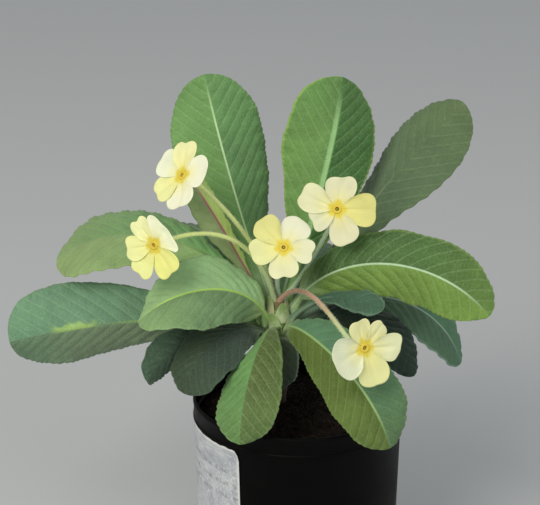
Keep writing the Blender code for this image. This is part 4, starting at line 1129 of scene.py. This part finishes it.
def make_label():
    """The worn label, a thin sheet round the pot's wall with round corners and a lifting free end."""
    columns, rows = 90, 44
    length = math.radians(LABEL_TO - LABEL_FROM) * body_radius((LABEL_BOTTOM + LABEL_TOP) / 2)
    along, share = np.meshgrid(np.linspace(0, length, columns + 1), np.linspace(0, 1, rows + 1))
    height = LABEL_TOP - LABEL_BOTTOM
    from_end = np.minimum(along, length - along)
    short = np.clip(LABEL_CORNER - from_end, 0, None)
    inset = LABEL_CORNER - np.sqrt(np.clip(LABEL_CORNER ** 2 - short ** 2, 0, None))
    frayed = 0.25 * ripples(along, 0 * along, 3.0, 81)
    up = inset + share * (height - 2 * inset)
    up = up + frayed * np.where(share > 0.98, 1, 0) - frayed * np.where(share < 0.02, 1, 0)
    azimuth = np.radians(LABEL_FROM + (LABEL_TO - LABEL_FROM) * along / length)
    lift = 0.35 * smooth_step(length - 6, length, along) * smooth_step(0.55, 1.0, share)
    crinkle = 0.05 * (1 + ripples(along, up, 9.0, 82))
    radius = body_radius(LABEL_BOTTOM + up) + LABEL_GAP + crinkle + lift
    sheets = [about_axis(radius + thick, azimuth, LABEL_BOTTOM + up) for thick in (LABEL_THICK, 0.0)]
    place = np.stack([along, up, np.minimum(np.minimum(from_end, up), height - up)], -1)
    new_piece("dressed_label", both_sides(*sheets), shell_faces(*up.shape), [label_paper()],
              ["label"], sharp=60, attributes={"place": both_sides(place)})


# Stage

def area_light(name, place, size, power, colour):
    """A soft square light, placed and sized in metres, that points at the plant."""
    light = bpy.data.lights.new(name, "AREA")
    light.size = size
    light.energy = power
    light.color = linear(colour)
    lamp = new_object(name, light)
    lamp.location = place
    x, y, z = np.array(LIGHT_TARGET) * MM - place
    lamp.rotation_euler = (math.pi / 2 + math.atan2(z, math.hypot(x, y)), 0.0, math.atan2(y, x) - math.pi / 2)


def make_stage():
    """A plain pale floor, soft light from the left and above, and the camera."""
    corners = [(x * FLOOR_HALF, y * FLOOR_HALF, 0) for x, y in ((-1, -1), (1, -1), (1, 1), (-1, 1))]
    floor = new_object("floor", new_mesh("floor", corners, [(0, 1, 2, 3)]))
    matt, _ = new_material("Studio floor, pale matt", Base_Color="#BFC2C2", Roughness=0.9,
                           Specular_IOR_Level=0.1)
    floor.data.materials.append(matt)

    world = bpy.data.worlds.new("Studio")
    world.use_nodes = True
    fill(world.node_tree, world.node_tree.nodes["Background"].inputs, {"Color": "#F2F3F5", "Strength": 0.52})
    bpy.context.scene.world = world
    area_light("key", (-0.8, -1.1, 1.25), 1.0, 20.0, "#FFFBF2")
    area_light("fill", (1.2, -1.1, 0.7), 1.2, 8.0, "#FBFBFF")

    camera = bpy.data.cameras.new("camera")
    camera.sensor_width = SENSOR
    camera.lens = FOCAL_PIXELS / max(PICTURE) * SENSOR
    eye = new_object("camera", camera)
    eye.rotation_euler = (math.radians(90 - CAMERA_RISE), 0.0, 0.0)
    eye.location = (CAMERA_TARGET - CAMERA_DISTANCE * direction(90.0, -CAMERA_RISE)) * MM
    bpy.context.scene.camera = eye
    bpy.context.scene.view_settings.view_transform = "Standard"


make_pot()
make_label()
make_soil()
make_crown()
make_leaves()
make_flowers()
make_stage()
